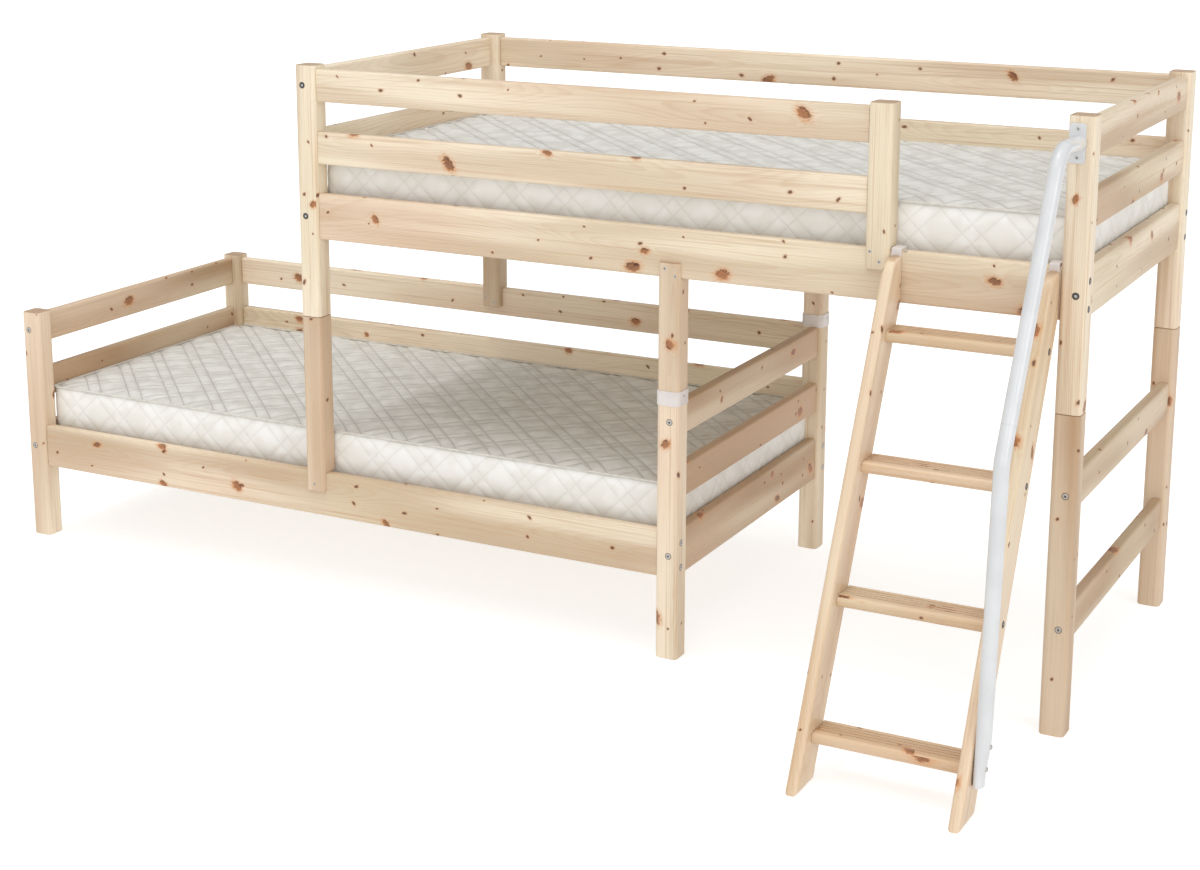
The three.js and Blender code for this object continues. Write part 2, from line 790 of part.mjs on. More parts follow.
// The lower tube: pressed flat against the stringer at its foot, bored for the sleeve on top.
function handrailLower() {
  const rise = knee.clone().sub(foot).normalize();
  const line = [];
  const halves = [];
  for (let i = 0; i <= flatSteps; i++) {
    const share = i / flatSteps;
    const pressed = ((tubeRadius - flatHalf) * (1 + Math.cos(Math.PI * share))) / 2;
    const halfAcross = tubeRadius - pressed;
    const halfDepth = tubeRadius + pressed * flatSpread;
    const point = foot.clone().addScaledVector(rise, flatLength * share);
    point.x += halfAcross - tubeRadius;
    line.push(point);
    halves.push([halfAcross, halfDepth]);
  }
  for (const point of [...bendPoints(foot, knee, elbow, kneeSteps), tubeJoint]) {
    line.push(point);
    halves.push([tubeRadius, tubeRadius]);
  }
  const bore = [
    tubeJoint.clone().addScaledVector(climb, -sleeveLength - seatGap),
    tubeJoint.clone().addScaledVector(climb, overcut),
  ];
  return cut(loft(tubeRings(line, halves)), [roundTube(bore, sleeveDiameter / 2 + seatGap)]);
}

// The upper tube with its sleeve below and its welded plate on the post.
function handrailUpper() {
  const start = tubeJoint.clone().addScaledVector(climb, seatGap);
  const line = [start, ...bendPoints(knee, elbow, plateMiddle, elbowSteps), plateMiddle];
  const sleeve = [
    tubeJoint.clone().addScaledVector(climb, -sleeveLength),
    start.clone().addScaledVector(climb, weldDepth),
  ];
  const outline = roundedRectangle(plateWidth, plateLength, plateCorner);
  const plate = extrude(outline, plateThickness, { ease: plateEase })
    .rotateX(Math.PI / 2)
    .translate(postMiddleX - plateWidth / 2, -seatGap, plateHeight - plateLength / 2);
  return join([roundTube(line, tubeRadius), roundTube(sleeve, sleeveDiameter / 2), plate]);
}

function addHandrail(group) {
  group.add(mesh("handrail_lower", handrailLower(), whiteSteel, 0, 0, 0));
  group.add(mesh("handrail_upper", handrailUpper(), whiteSteel, 0, 0, 0));
}

// The whole bed, with its origin on the floor under the middle of its outline

const loftBed = new THREE.Group();
const backReach = bedWidth + collarGap + collarWall;
loftBed.position.set(-overallLength / 2, (footReach - backReach) / 2, 0);

const lowerBed = bedFrame("lower", { front_right: "top", back_right: "top" });
const upperBed = bedFrame("upper", {
  front_left: "underside",
  front_right: "underside",
  back_left: "underside",
  back_right: "underside",
});
upperBed.position.set(loftShift, 0, loftLift);
addFrontGuard(upperBed);

loftBed.add(lowerBed, upperBed);
addHangers(loftBed);
addSupports(loftBed);
addCollars(loftBed);
addLegs(loftBed);
addLadder(loftBed);
addHandrail(loftBed);

export default loftBed;
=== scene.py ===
# %% [markdown]
# # A loft bed over a single bed
#
# The bed is pine: two equal bed frames, one set above and to the right of the other, with two
# quilted mattresses, a slanted ladder and a handrail of bent white tube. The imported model
# already holds every piece at its right size and place, so this lesson only dresses it. Each
# piece is made again with the detail that the eye looks for, such as round edges, grain,
# knots, bolts and stitching, and then it stands for the plain piece.

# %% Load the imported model
import json
import math
import random
import bmesh
import bpy
from mathutils import Euler, Matrix, Vector


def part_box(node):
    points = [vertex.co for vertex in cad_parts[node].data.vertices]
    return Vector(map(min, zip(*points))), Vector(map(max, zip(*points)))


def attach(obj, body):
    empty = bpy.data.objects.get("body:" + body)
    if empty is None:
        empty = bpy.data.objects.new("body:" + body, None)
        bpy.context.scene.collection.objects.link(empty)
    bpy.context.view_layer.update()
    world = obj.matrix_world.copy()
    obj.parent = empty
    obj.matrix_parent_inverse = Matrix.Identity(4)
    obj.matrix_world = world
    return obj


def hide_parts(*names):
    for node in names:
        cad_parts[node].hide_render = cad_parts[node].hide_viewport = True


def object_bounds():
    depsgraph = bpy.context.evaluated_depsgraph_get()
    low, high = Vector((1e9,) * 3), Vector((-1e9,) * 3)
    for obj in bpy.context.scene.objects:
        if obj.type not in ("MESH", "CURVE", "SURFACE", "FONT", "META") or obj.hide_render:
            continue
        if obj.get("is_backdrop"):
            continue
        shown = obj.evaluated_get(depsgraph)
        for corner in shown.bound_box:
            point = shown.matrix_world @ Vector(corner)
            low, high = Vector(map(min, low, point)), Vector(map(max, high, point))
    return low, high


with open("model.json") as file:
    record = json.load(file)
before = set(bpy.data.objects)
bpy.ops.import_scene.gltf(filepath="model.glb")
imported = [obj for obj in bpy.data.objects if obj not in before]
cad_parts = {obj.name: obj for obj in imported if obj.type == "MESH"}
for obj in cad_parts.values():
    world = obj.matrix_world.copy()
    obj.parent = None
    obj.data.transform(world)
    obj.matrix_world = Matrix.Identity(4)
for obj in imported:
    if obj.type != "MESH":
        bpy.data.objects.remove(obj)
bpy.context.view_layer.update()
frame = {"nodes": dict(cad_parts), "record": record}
print("pieces in the frame:", len(frame["nodes"]))

# %% [markdown]
# The bed's own lengths are easiest in millimetres from the lower bed's front left corner on
# the floor, and colours are easiest as a screen shows them, from 0 to 255. Small helpers turn
# both into what Blender works with: metres in the frame, and linear light.

# %% Lengths and colours
MM = 0.001
corner_low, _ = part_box("lower_post_front_left")
front_left = Vector((corner_low.x, corner_low.y, 0.0))


def spot(x, y, z):
    """A place given in millimetres from the lower bed's front left corner."""
    return front_left + Vector((x, y, z)) * MM


def box_in_mm(node):
    """The lowest and highest corner of a node, in millimetres from that corner."""
    return [(corner - front_left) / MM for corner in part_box(node)]


def screen_colour(red, green, blue):
    """Linear light of a colour as a screen shows it."""
    shares = [v / 255 for v in (red, green, blue)]
    light = [s / 12.92 if s <= 0.04045 else ((s + 0.055) / 1.055) ** 2.4 for s in shares]
    return (*light, 1.0)


print("front left corner:", [round(v, 4) for v in front_left])

# %% [markdown]
# Materials and Geometry Nodes are both trees of nodes. A tree is easier to read as a formula
# than as a list of links, so one small class wraps the output of a node. A sum written on it
# adds the Math node that works it out, and every other node comes from one method, `add`.


# %% A tree of nodes as a formula
def sign_for(operation):
    """What a Value does at a sign such as +: it adds a Math node with an operation."""
    return lambda self, other: self.maths(operation, other)


class Value:
    """The output of a node. Sums on it add Math nodes to the same tree."""

    __add__ = __radd__ = sign_for("ADD")
    __mul__ = __rmul__ = sign_for("MULTIPLY")
    __sub__ = sign_for("SUBTRACT")
    __truediv__ = sign_for("DIVIDE")
    __pow__ = sign_for("POWER")

    def __init__(self, tree, socket):
        self.tree = tree
        self.socket = socket

    def __rsub__(self, other):
        return self.tree.add("ShaderNodeMath", {"operation": "SUBTRACT"}, [other, self])

    def part(self, name):
        """Another output of the same node."""
        return Value(self.tree, self.socket.node.outputs[name])

    def maths(self, operation, *others):
        return self.tree.add("ShaderNodeMath", {"operation": operation}, [self, *others])

    def size(self):
        return self.maths("ABSOLUTE")

    def smooth(self, start, end):
        """0 up to start, 1 from end on, and a soft rise between."""
        settings = {"interpolation_type": "SMOOTHSTEP"}
        return self.tree.add("ShaderNodeMapRange", settings, [self, start, end, 0.0, 1.0])


class Tree:
    """A node tree that is written from Python."""

    def __init__(self, group):
        self.group = group

    def add(self, kind, settings=None, inputs=(), output=0):
        """A node of a kind, with its settings first and then its inputs by name or number."""
        node = self.group.nodes.new(kind)
        for name, value in (settings or {}).items():
            setattr(node, name, value)
        pairs = inputs.items() if isinstance(inputs, dict) else enumerate(inputs)
        for key, value in pairs:
            self.feed(node.inputs[key], value)
        return Value(self, node.outputs[output]) if len(node.outputs) else None

    def feed(self, socket, value):
        if isinstance(value, list):
            for one in value:
                self.feed(socket, one)
        elif isinstance(value, Value):
            self.group.links.new(value.socket, socket)
        else:
            socket.default_value = value

    def vector(self, operation, *values):
        return self.add("ShaderNodeVectorMath", {"operation": operation}, list(values))

    def combine(self, x, y, z):
        return self.add("ShaderNodeCombineXYZ", None, [x, y, z])

    def parts(self, vector):
        """The three numbers of a vector."""
        split = self.add("ShaderNodeSeparateXYZ", None, [vector])
        return split, split.part("Y"), split.part("Z")

    def mix(self, first, second, share, blend="MIX"):
        """One colour turning into another as share goes from 0 to 1."""
        settings = {"data_type": "RGBA", "blend_type": blend}
        return self.add("ShaderNodeMix", settings, {0: share, 6: first, 7: second}, 2)

    def noise(self, place, scale=1.0, detail=2.0, **more):
        inputs = {"Vector": place, "Scale": scale, "Detail": detail, **more}
        return self.add("ShaderNodeTexNoise", None, inputs)

    def mark(self, name, output="Fac"):
        """What a piece's mesh says about itself in an attribute."""
        settings = {"attribute_type": "GEOMETRY", "attribute_name": name}
        return self.add("ShaderNodeAttribute", settings, (), output)

    def surface(self, sockets):
        """Ends a material in one shader."""
        shader = self.add("ShaderNodeBsdfPrincipled", None, sockets)
        self.add("ShaderNodeOutputMaterial", None, {"Surface": shader})


# %% [markdown]
# A modifier that runs a Geometry Nodes tree takes its sizes through named inputs. The inputs
# are found by name here and set by their identifier. The result is then turned into a plain
# mesh, because the frame and the export both want plain meshes with nothing live on them.


# %% Run a tree and keep the mesh
def new_finish(name):
    """A material without nodes, and its tree."""
    material = bpy.data.materials.new(name)
    material.use_nodes = True
    material.node_tree.nodes.clear()
    return material, Tree(material.node_tree)


def new_tree(name, inputs):
    """An empty Geometry Nodes tree with named inputs, and the Value of each input."""
    group = bpy.data.node_groups.new(name, "GeometryNodeTree")
    for way in ("OUTPUT", "INPUT"):
        group.interface.new_socket("Geometry", in_out=way, socket_type="NodeSocketGeometry")
    for title, kind in inputs.items():
        group.interface.new_socket(title, in_out="INPUT", socket_type="NodeSocket" + kind)
    tree = Tree(group)
    start = tree.add("NodeGroupInput")
    return tree, {title: start.part(title) for title in ["Geometry", *inputs]}


def end_tree(tree, geometry, material=None):
    """Ends a tree in Realize Instances and, where a material is given, Set Material."""
    real = tree.add("GeometryNodeRealizeInstances", None, [geometry])
    if material is not None:
        real = tree.add("GeometryNodeSetMaterial", None, {"Geometry": real, "Material": material})
    tree.add("NodeGroupOutput", None, [real])
    return tree.group


def new_piece(name, data):
    piece = bpy.data.objects.new(name, data)
    bpy.context.scene.collection.objects.link(piece)
    return piece


def plain_mesh(piece):
    """Swaps a piece for one with its modifiers worked out, and returns it."""
    bpy.context.view_layer.update()
    depsgraph = bpy.context.evaluated_depsgraph_get()
    mesh = bpy.data.meshes.new_from_object(piece.evaluated_get(depsgraph), depsgraph=depsgraph)
    name = piece.name
    bpy.data.objects.remove(piece)
    mesh.name = name
    return new_piece(name, mesh)


def run_tree(piece, group, values):
    """Puts a tree on a piece, sets its inputs and returns the piece as a plain mesh."""
    modifier = piece.modifiers.new(group.name, "NODES")
    modifier.node_group = group
    for item in group.interface.items_tree:
        if item.item_type == "SOCKET" and item.in_out == "INPUT" and item.name in values:
            modifier[item.identifier] = values[item.name]
    return plain_mesh(piece)


def painted(piece, material):
    piece.data.materials.clear()
    piece.data.materials.append(material)
    return piece


def soft_edges(piece, angle=40):
    """Smooth shading that keeps flat faces flat and edges past an angle sharp."""
    piece.data.shade_smooth()
    piece.data.set_sharp_from_angle(angle=math.radians(angle))
    modifier = piece.modifiers.new("flat faces", "WEIGHTED_NORMAL")
    modifier.keep_sharp = True
    modifier.weight = 100
    return plain_mesh(piece)


def stands_for(piece, slot, *names):
    """Ends a piece: it rides on the bed and stands for its CAD nodes, which it hides. The slot is not
    used.
    """
    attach(piece, "root")
    if names:
        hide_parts(*names)


# %% [markdown]
# ## Pine
#
# Every board shows the same few things: rings of growth, seen as long arches and lines, fine
# fibres, broad streaks, and knots that are darker on one side of their rim. A picture of wood
# would repeat and would not turn the corner of a board. So the grain is worked out in space.
# Each board carries its own coordinates along, across and through it. The distance from an
# axis beside the board, the pith, gives the rings, and they bend round each knot.

# %% Knots
# Sizes in metres: the cell that may hold a knot, and a knot's least and greatest radius.
LARGE_KNOTS = {"long": 0.24, "wide": 0.085, "least": 0.0058, "most": 0.0125}
SMALL_KNOTS = {"long": 0.13, "wide": 0.05, "least": 0.0024, "most": 0.0052}


def knots(tree, along, round_it, sizes, share, seed):
    """A knot in some cells of a grid. Returns how far a point is from its knot, in radii,
    whether the cell has one, how dark it is and how far round to its dark side the point is."""
    where = tree.combine(along / sizes["long"] + seed * 37, round_it / sizes["wide"] + seed * 91, 0.0)
    settings = {"voronoi_dimensions": "2D", "feature": "F1"}
    inputs = {"Vector": where, "Scale": 1.0, "Randomness": 0.75}
    cell = tree.add("ShaderNodeTexVoronoi", settings, inputs)
    chance, size, dark = tree.parts(cell.part("Color"))
    here_x, here_y, _ = tree.parts(where)
    knot_x, knot_y, _ = tree.parts(cell.part("Position"))
    radius = sizes["least"] + size * (sizes["most"] - sizes["least"])
    off_along = (here_x - knot_x) * sizes["long"] / radius
    off_across = (here_y - knot_y) * sizes["wide"] / radius
    lean = ((chance * 17).maths("FRACT") - 0.5) * 1.7
    lean_x, lean_y = lean.maths("COSINE"), lean.maths("SINE")
    long_way = (off_along * lean_x + off_across * lean_y) / (1.1 + dark * 0.7)
    short_way = off_across * lean_x - off_along * lean_y
    distance = (long_way * long_way + short_way * short_way) ** 0.5
    present = chance.maths("LESS_THAN", share)
    return distance, present, dark, short_way.smooth(-0.5, 0.7)


# %% The pine finish
RING_WIDTH = 0.0042
PITH_DEPTH = 0.035
ROSY = screen_colour(232, 198, 170)
YELLOW = screen_colour(226, 212, 178)
FIBRE_SHADE = screen_colour(210, 180, 140)
AMBER = screen_colour(214, 150, 96)
END_GRAIN_AND_GROOVE_SHADE = screen_colour(160, 122, 88)


def pine_finish(name, fair, warm, streak, knot, heart, roughness, coat):
    """A wood from five screen colours, its roughness and how much lacquer it has."""
    fair, warm, streak, knot, heart = (screen_colour(*c) for c in (fair, warm, streak, knot, heart))
    material, tree = new_finish(name)
    grain = tree.mark("grain", "Vector")
    along, across, through = tree.parts(grain)
    half_length, seed, tone = tree.parts(tree.mark("board", "Vector"))
    cut = tree.mark("cut")
    knotty = tree.mark("knotty")
    lengthwise, girth, _ = tree.parts(tree.add("ShaderNodeUVMap", {"uv_map": "wood"}))

    large, has_large, dark, dark_side = knots(
        tree, lengthwise, girth, LARGE_KNOTS, 0.1 + knotty * 0.55, seed)
    small, has_small, _, _ = knots(
        tree, lengthwise, girth, SMALL_KNOTS, 0.5 - knotty * 0.25, seed + 3)
    off_end = (half_length - along.size()).smooth(0.001, 0.004)
    has_large, has_small = has_large * off_end, has_small * off_end
    wobble = tree.noise(tree.vector("MULTIPLY", grain, (120.0, 200.0, 200.0)))
    large = large + (wobble - 0.5) * 1.5
    small = small + (wobble - 0.5) * 1.0

    def near(distance, start, end, present):
        """1 inside a knot, and a soft fall to 0 outside it."""
        return (1 - distance.smooth(start, end)) * present

    large_fill = near(large, 0.75, 1.1, has_large)
    large_heart = near(large, 0.1, 0.65, has_large)
    large_rim = large.smooth(0.5, 0.9) * near(large, 0.98, 1.2, has_large) * dark_side
    large_halo = near(large, 0.9, 2.3, has_large)
    small_core = near(small, 0.55, 1.15, has_small)
    small_halo = near(small, 0.8, 2.4, has_small)
    large_pull = near(large, 0.6, 4.0, has_large)
    small_pull = near(small, 0.6, 5.0, has_small)

    far = tree.vector("ADD", grain, tree.combine(seed * 61, seed * 23, seed * 47))

    def drawn_out(stretch, detail):
        return tree.noise(tree.vector("MULTIPLY", far, stretch), detail=detail)

    sway_a, sway_b, tint = tree.parts(drawn_out((1.3, 3.0, 3.0), 1.0).part("Color"))
    from_pith_a = across + (sway_a - 0.5) * 0.16 + (seed - 0.5) * 0.05
    from_pith_b = through + (sway_b - 0.5) * 0.10 + PITH_DEPTH
    radius = (from_pith_a * from_pith_a + from_pith_b * from_pith_b) ** 0.5
    radius = radius + large_pull * large_pull * 0.006 + small_pull * small_pull * 0.0015

    fibre = drawn_out((18.0, 750.0, 750.0), 2.0)
    lines = drawn_out((2.4, 230.0, 230.0), 2.0)
    streaks = drawn_out((1.5, 55.0, 55.0), 3.0)
    broad = drawn_out((1.1, 11.0, 11.0), 1.0)
    ring = (radius / RING_WIDTH + streaks * 0.9).maths("FRACT")
    late = ring.smooth(0.3, 0.9) * (1 - ring.smooth(0.92, 1.0))

    # The tone turns fair into warm. Set per board, it is partly the wood's own tone and partly painted
    # shade and light.
    colour = tree.mix(fair, warm, tone * 0.8 + (broad.smooth(0.3, 0.7) - 0.5) * 0.6)
    colour = tree.mix(colour, ROSY, tint.smooth(0.45, 0.7) * 0.4)
    colour = tree.mix(colour, YELLOW, (1 - tint.smooth(0.3, 0.5)) * 0.35)
    streaky = streaks.smooth(0.55, 0.8) * 0.45 + lines.smooth(0.52, 0.72) * 0.4
    colour = tree.mix(colour, streak, streaky)
    colour = tree.mix(colour, streak, late * (0.08 + broad.smooth(0.35, 0.65) * 0.17))
    colour = tree.mix(colour, FIBRE_SHADE, fibre.smooth(0.5, 0.75) * 0.16, "MULTIPLY")
    around_knot = large_halo * large_halo * 0.55 + small_halo * small_halo * 0.45
    around_knot = around_knot + large_halo * lines.smooth(0.48, 0.62) * 0.3
    colour = tree.mix(colour, AMBER, around_knot)
    inside = tree.mix(knot, heart, dark.smooth(0.55, 0.9) * 0.45 + large_heart * 0.3)
    colour = tree.mix(colour, inside, large_fill * 0.85)
    darkest = large_rim * wobble.smooth(0.3, 0.5) * 0.85 + small_core * 0.85
    colour = tree.mix(colour, heart, darkest)
    # End grain is darker, and on the treads the same mark paints shade into the grooves.
    colour = tree.mix(colour, END_GRAIN_AND_GROOVE_SHADE, cut * (0.6 + late * 0.25))

    height = fibre * 0.5 + late * 0.4 - large_rim * 0.8
    tree.surface({
        "Base Color": colour,
        "Roughness": roughness + fibre * 0.08 - large_fill * 0.1 + cut * 0.15,
        "Normal": tree.add("ShaderNodeBump", None, {
            "Strength": 0.18, "Distance": 0.0006, "Height": height,
        }),
        "Coat Weight": coat, "Coat Roughness": 0.22, "Specular IOR Level": 0.4,
    })
    return material


pine = pine_finish("pine", (247, 233, 209), (180, 149, 115), (200, 162, 122),
                   knot=(168, 106, 62), heart=(84, 46, 26), roughness=0.46, coat=0.08)
lacquered_pine = pine_finish("lacquered pine", (236, 218, 190), (204, 172, 134), (204, 162, 116),
                             knot=(170, 106, 60), heart=(90, 50, 28), roughness=0.36, coat=0.3)
print("pine finishes:", len(pine.node_tree.nodes), "nodes each")

# %% [markdown]
# The finish needs to know how each board lies. `mark_wood` writes that on the mesh: the
# place along, across and through the board in the attribute `grain`; half its length, a
# number of its own and a tone in `board`; how many large knots it has in `knotty`; how
# squarely a face cuts the fibres in `cut`, for the darker end grain; and the place along and
# round the board in the UV map `wood`, where the knots lie. A new attribute may move those
# made before it, so all are made first and then found by name.

# %% Mark how a board lies
QUARTER = math.pi / 2
LIE = {
    "x": Euler((QUARTER, 0.0, 0.0)).to_matrix(),
    "y": Euler((QUARTER, 0.0, QUARTER)).to_matrix(),
    "z": Euler((-QUARTER, -QUARTER, 0.0)).to_matrix(),
}
WOOD_MARKS = {
    "grain": ("FLOAT_VECTOR", "POINT"),
    "board": ("FLOAT_VECTOR", "POINT"),
    "knotty": ("FLOAT", "POINT"),
    "cut": ("FLOAT", "FACE"),
}


def held(value):
    """A value held between 0 and 1."""
    return min(max(value, 0.0), 1.0)


def mark_wood(piece, turn, tone, knotty):
    """Writes how the wood lies on a mesh. turn takes along, across, through to the frame."""
    mesh = piece.data
    chance = random.Random(piece.name)
    back = turn.transposed()
    local = [back @ v.co for v in mesh.vertices]
    low = Vector(min(p[i] for p in local) for i in range(3))
    high = Vector(max(p[i] for p in local) for i in range(3))
    middle, half = (low + high) / 2, (high - low) / 2
    local = [p - middle for p in local]
    seed = chance.random()
    own_tone = held(tone + chance.uniform(-0.1, 0.1))
    for title, (kind, domain) in WOOD_MARKS.items():
        mesh.attributes.new(title, kind, domain)
    mesh.uv_layers.new(name="wood")
    grain, board, knots_in, cut = (mesh.attributes[title] for title in WOOD_MARKS)
    wood = mesh.uv_layers["wood"]
    for i, p in enumerate(local):
        grain.data[i].vector = p
        board.data[i].vector = (half.x, seed, own_tone)
        knots_in.data[i].value = knotty
    for face in mesh.polygons:
        normal = back @ face.normal
        cut.data[face.index].value = held((abs(normal.x) - 0.5) / 0.35)
        for corner in face.loop_indices:
            p = local[mesh.loops[corner].vertex_index]
            girth = p.y + half.z - p.z
            if normal.y + normal.z <= 0:
                girth = 2 * (half.y + half.z) - p.y + half.z + p.z
            wood.data[corner].uv = (p.x, girth)


# %% [markdown]
# ## Rounded timber
#
# All posts and boards are one form: a bar with round long edges and slightly eased ends. A
# cube with a Bevel would do for one, but the sizes differ for each, and the ends are eased
# less than the edges. So a tree does it by a rule. It starts from a cube cut into ten by ten
# squares a side and moves each of its points: the outer rows go on to the arcs, and the rows
# next to them hold the flat faces flat. One tree then makes every straight piece of wood.

# %% The rounded timber tree
STEPS = 5
ARC = 3
HOLD = 1 * MM


def timber_axis(flat_half, row):
    """Where a row of points lies on an axis, up to the start of its arc."""
    outer = row.maths("LESS_THAN", ARC + 0.5)
    return outer * flat_half + (1 - outer) * ((flat_half - HOLD) * (STEPS - row))


def timber_tree():
    tree, given = new_tree("rounded timber", {
        "Half Size": "Vector", "Edge": "Float", "End": "Float", "Turn": "Rotation",
        "Middle": "Vector",
    })
    size = 2 * STEPS + 1
    cube = tree.add("GeometryNodeMeshCube", None, {
        "Size": (2.0, 2.0, 2.0), "Vertices X": size, "Vertices Y": size, "Vertices Z": size,
    })
    axes = tree.parts(tree.add("GeometryNodeInputPosition"))
    half_x, half_y, half_z = tree.parts(given["Half Size"])
    end = given["End"]
    rows = [STEPS - (v.size() * STEPS).maths("ROUND") for v in axes]
    on_arc = [(1 - row / ARC).maths("MAXIMUM", 0.0) for row in rows]

    turn_in = on_arc[0] * QUARTER
    in_by = end * (1 - turn_in.maths("COSINE"))
    news = [timber_axis(half_x - end, rows[0]) + end * turn_in.maths("SINE")]
    radius = given["Edge"] - in_by
    leans = [(share * (QUARTER / 2)).maths("TANGENT") for share in on_arc[1:]]
    length = (leans[0] * leans[0] + leans[1] * leans[1]) ** 0.5
    reach = radius * leans[0].maths("MAXIMUM", leans[1]) / length
    for half, row, lean in zip((half_y, half_z), rows[1:], leans):
        news.append(timber_axis(half - in_by - radius, row) + reach * lean)
    place = tree.combine(*(new * axis.maths("SIGN") for new, axis in zip(news, axes)))
    moved = tree.add("GeometryNodeSetPosition", None, {"Geometry": cube, "Position": place})
    turned = tree.add("GeometryNodeTransform", None, {
        "Geometry": moved, "Translation": given["Middle"], "Rotation": given["Turn"],
    })
    return end_tree(tree, turned, pine)


rounded_timber = timber_tree()
print("rounded timber:", len(rounded_timber.nodes), "nodes")

# %% [markdown]
# Some pieces are notched so that they sit on the edge of a board and lap its face. `carve`
# takes a block away with a second small tree, whose one step is a Mesh Boolean. The same
# tree later cuts the slots for the ladder's hooks.


# %% The carving tree
def carving_tree():
    tree, given = new_tree("carved block", {"Low": "Vector", "High": "Vector"})
    size = tree.vector("SUBTRACT", given["High"], given["Low"])
    both = tree.vector("ADD", given["High"], given["Low"])
    block = tree.add("GeometryNodeMeshCube", None, {"Size": size})
    placed = tree.add("GeometryNodeTransform", None, {
        "Geometry": block, "Translation": tree.vector("MULTIPLY", both, (0.5, 0.5, 0.5)),
    })
    settings = {"operation": "DIFFERENCE", "solver": "EXACT"}
    inputs = {"Mesh 1": given["Geometry"], "Mesh 2": [placed]}
    return end_tree(tree, tree.add("GeometryNodeMeshBoolean", settings, inputs, "Mesh"))


carved_block = carving_tree()


def carve(piece, low, high):
    return run_tree(piece, carved_block, {"Low": low, "High": high})


# %% Every straight post and board
GAP = 0.3 * MM
CLEAR = 10 * MM
loft_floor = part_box("upper_post_front_left")[0].z - GAP
lower_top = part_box("lower_post_front_right")[1].z + GAP

# The radius of the long edges and the ease of the ends, by a word in the name.
EDGES = {
    **dict.fromkeys(("post", "leg_front", "leg_back", "support", "hanger"), (12, 2.5)),
    "cleat": (2, 1),
    "": (6, 1.5),
}

# The board that a post laps, and whether the post stands below or above that board's edge.
LAPS = {
    "upper_hanger_front": ("lower_side_rail_front", "below"),
    "upper_hanger_back": ("lower_back_slat_top", "below"),
    "upper_guard_post": ("upper_side_rail_front", "below"),
    "support_front": ("upper_side_rail_front", "above"),
    "support_back": ("upper_side_rail_back", "above"),
}

# How dark and how knotty a board is, from 0 to 1, by the start of its name. The darkness is
# partly the board's own tone and partly painted shade and light: the legs, the hangers, the
# lower bed and its ends are darker, and the back boards of both beds, the upper left end and
# the upper front right post are lighter.
BOARD_TONE_SHADE_AND_KNOTS = {
    "upper_front_slat_top": (0.15, 0.05),
    "upper_front_slat_middle": (0.2, 0.9),
    "upper_side_rail_front": (0.32, 0.85),
    "upper_right_end": (0.6, 0.5),
    "upper_post_front_right": (0.0, 0.2),
    "upper_left_end": (0.0, 0.2),
    "upper_back": (0.0, 0.3),
    "upper_hanger": (0.75, 0.5),
    "upper_guard_post": (0.4, 0.2),
    "upper": (0.27, 0.3),
    "lower_back": (0.0, 0.85),
    "lower_left_end": (0.95, 0.3),
    "lower_right_end": (1.0, 0.5),
    "lower_post": (0.3, 0.4),
    "lower": (0.6, 0.5),
    "support": (0.45, 0.5),
    "leg": (1.0, 0.3),
}


def timber_box(name):
    """The box of a wooden piece without its hidden pin."""
    low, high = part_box(name)
    if name in ("leg_front", "leg_back", "upper_hanger_front", "upper_hanger_back"):
        high.z = loft_floor
    if name in ("support_front", "support_back"):
        low.z = lower_top
    return low, high


def timber(name, low, high, edge, end):
    """A rounded bar between two corners that runs along its longest side."""
    size = high - low
    turn = LIE["xyz"[max(range(3), key=lambda i: size[i])]]
    piece = run_tree(new_piece(name, bpy.data.meshes.new(name)), rounded_timber, {
        "Half Size": [abs(v) / 2 for v in turn.transposed() @ size],
        "Edge": edge * MM,
        "End": end * MM,
        "Turn": turn.to_euler(),
        "Middle": (low + high) / 2,
    })
    return piece, turn


def cut_lap(piece, low, high, board, side):
    """Cuts away the part of a post that would run into the board it laps."""
    board_low, board_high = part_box(board)
    block_low = Vector((low.x - CLEAR, board_low.y - GAP, low.z - CLEAR))
    block_high = Vector((high.x + CLEAR, high.y + CLEAR, high.z + CLEAR))
    if side == "below":
        block_high.z = board_high.z + GAP
    else:
        block_low.z = board_low.z - GAP
    return carve(piece, block_low, block_high)


slots = {s["node"]: s["material_slot"] for s in frame["record"]["subparts"]}
straight = [name for name in sorted(frame["nodes"]) if slots[name] == "pine"]
for name in straight:
    low, high = timber_box(name)
    edge, end = next(sizes for word, sizes in EDGES.items() if word in name)
    piece, turn = timber(name + "_wood", low, high, edge, end)
    if name in LAPS:
        piece = cut_lap(piece, low, high, *LAPS[name])
    piece = soft_edges(piece)
    tone_shade_and_knots = next(tone_shade_and_knots for start, tone_shade_and_knots in BOARD_TONE_SHADE_AND_KNOTS.items() if name.startswith(start))
    mark_wood(piece, turn, *tone_shade_and_knots)
    stands_for(piece, "pine", name)
print("straight pieces of pine:", len(straight))

# %% [markdown]
# ## Flat shapes with round edges
#
# Stringers, treads, hooks and the handrail's plate are all outlines pushed out to a
# thickness. `slab` builds such a body from rings: the outline is drawn in by a little at each
# end and let out along a quarter circle, which is what a router bit does to a real edge.


# %% Rings and slabs
def ringed_body(name, rings, closed_ends=True):
    """A body whose skin runs from ring to ring of points."""
    bm = bmesh.new()
    rows = [[bm.verts.new(point) for point in ring] for ring in rings]
    for lower, upper in zip(rows, rows[1:]):
        for i in range(len(lower)):
            j = (i + 1) % len(lower)
            bm.faces.new([lower[i], lower[j], upper[j], upper[i]])
    if closed_ends:
        bm.faces.new(rows[0][::-1])
        bm.faces.new(rows[-1])
    bmesh.ops.remove_doubles(bm, verts=bm.verts, dist=1e-6)
    bmesh.ops.recalc_face_normals(bm, faces=bm.faces)
    mesh = bpy.data.meshes.new(name)
    bm.to_mesh(mesh)
    bm.free()
    return new_piece(name, mesh)


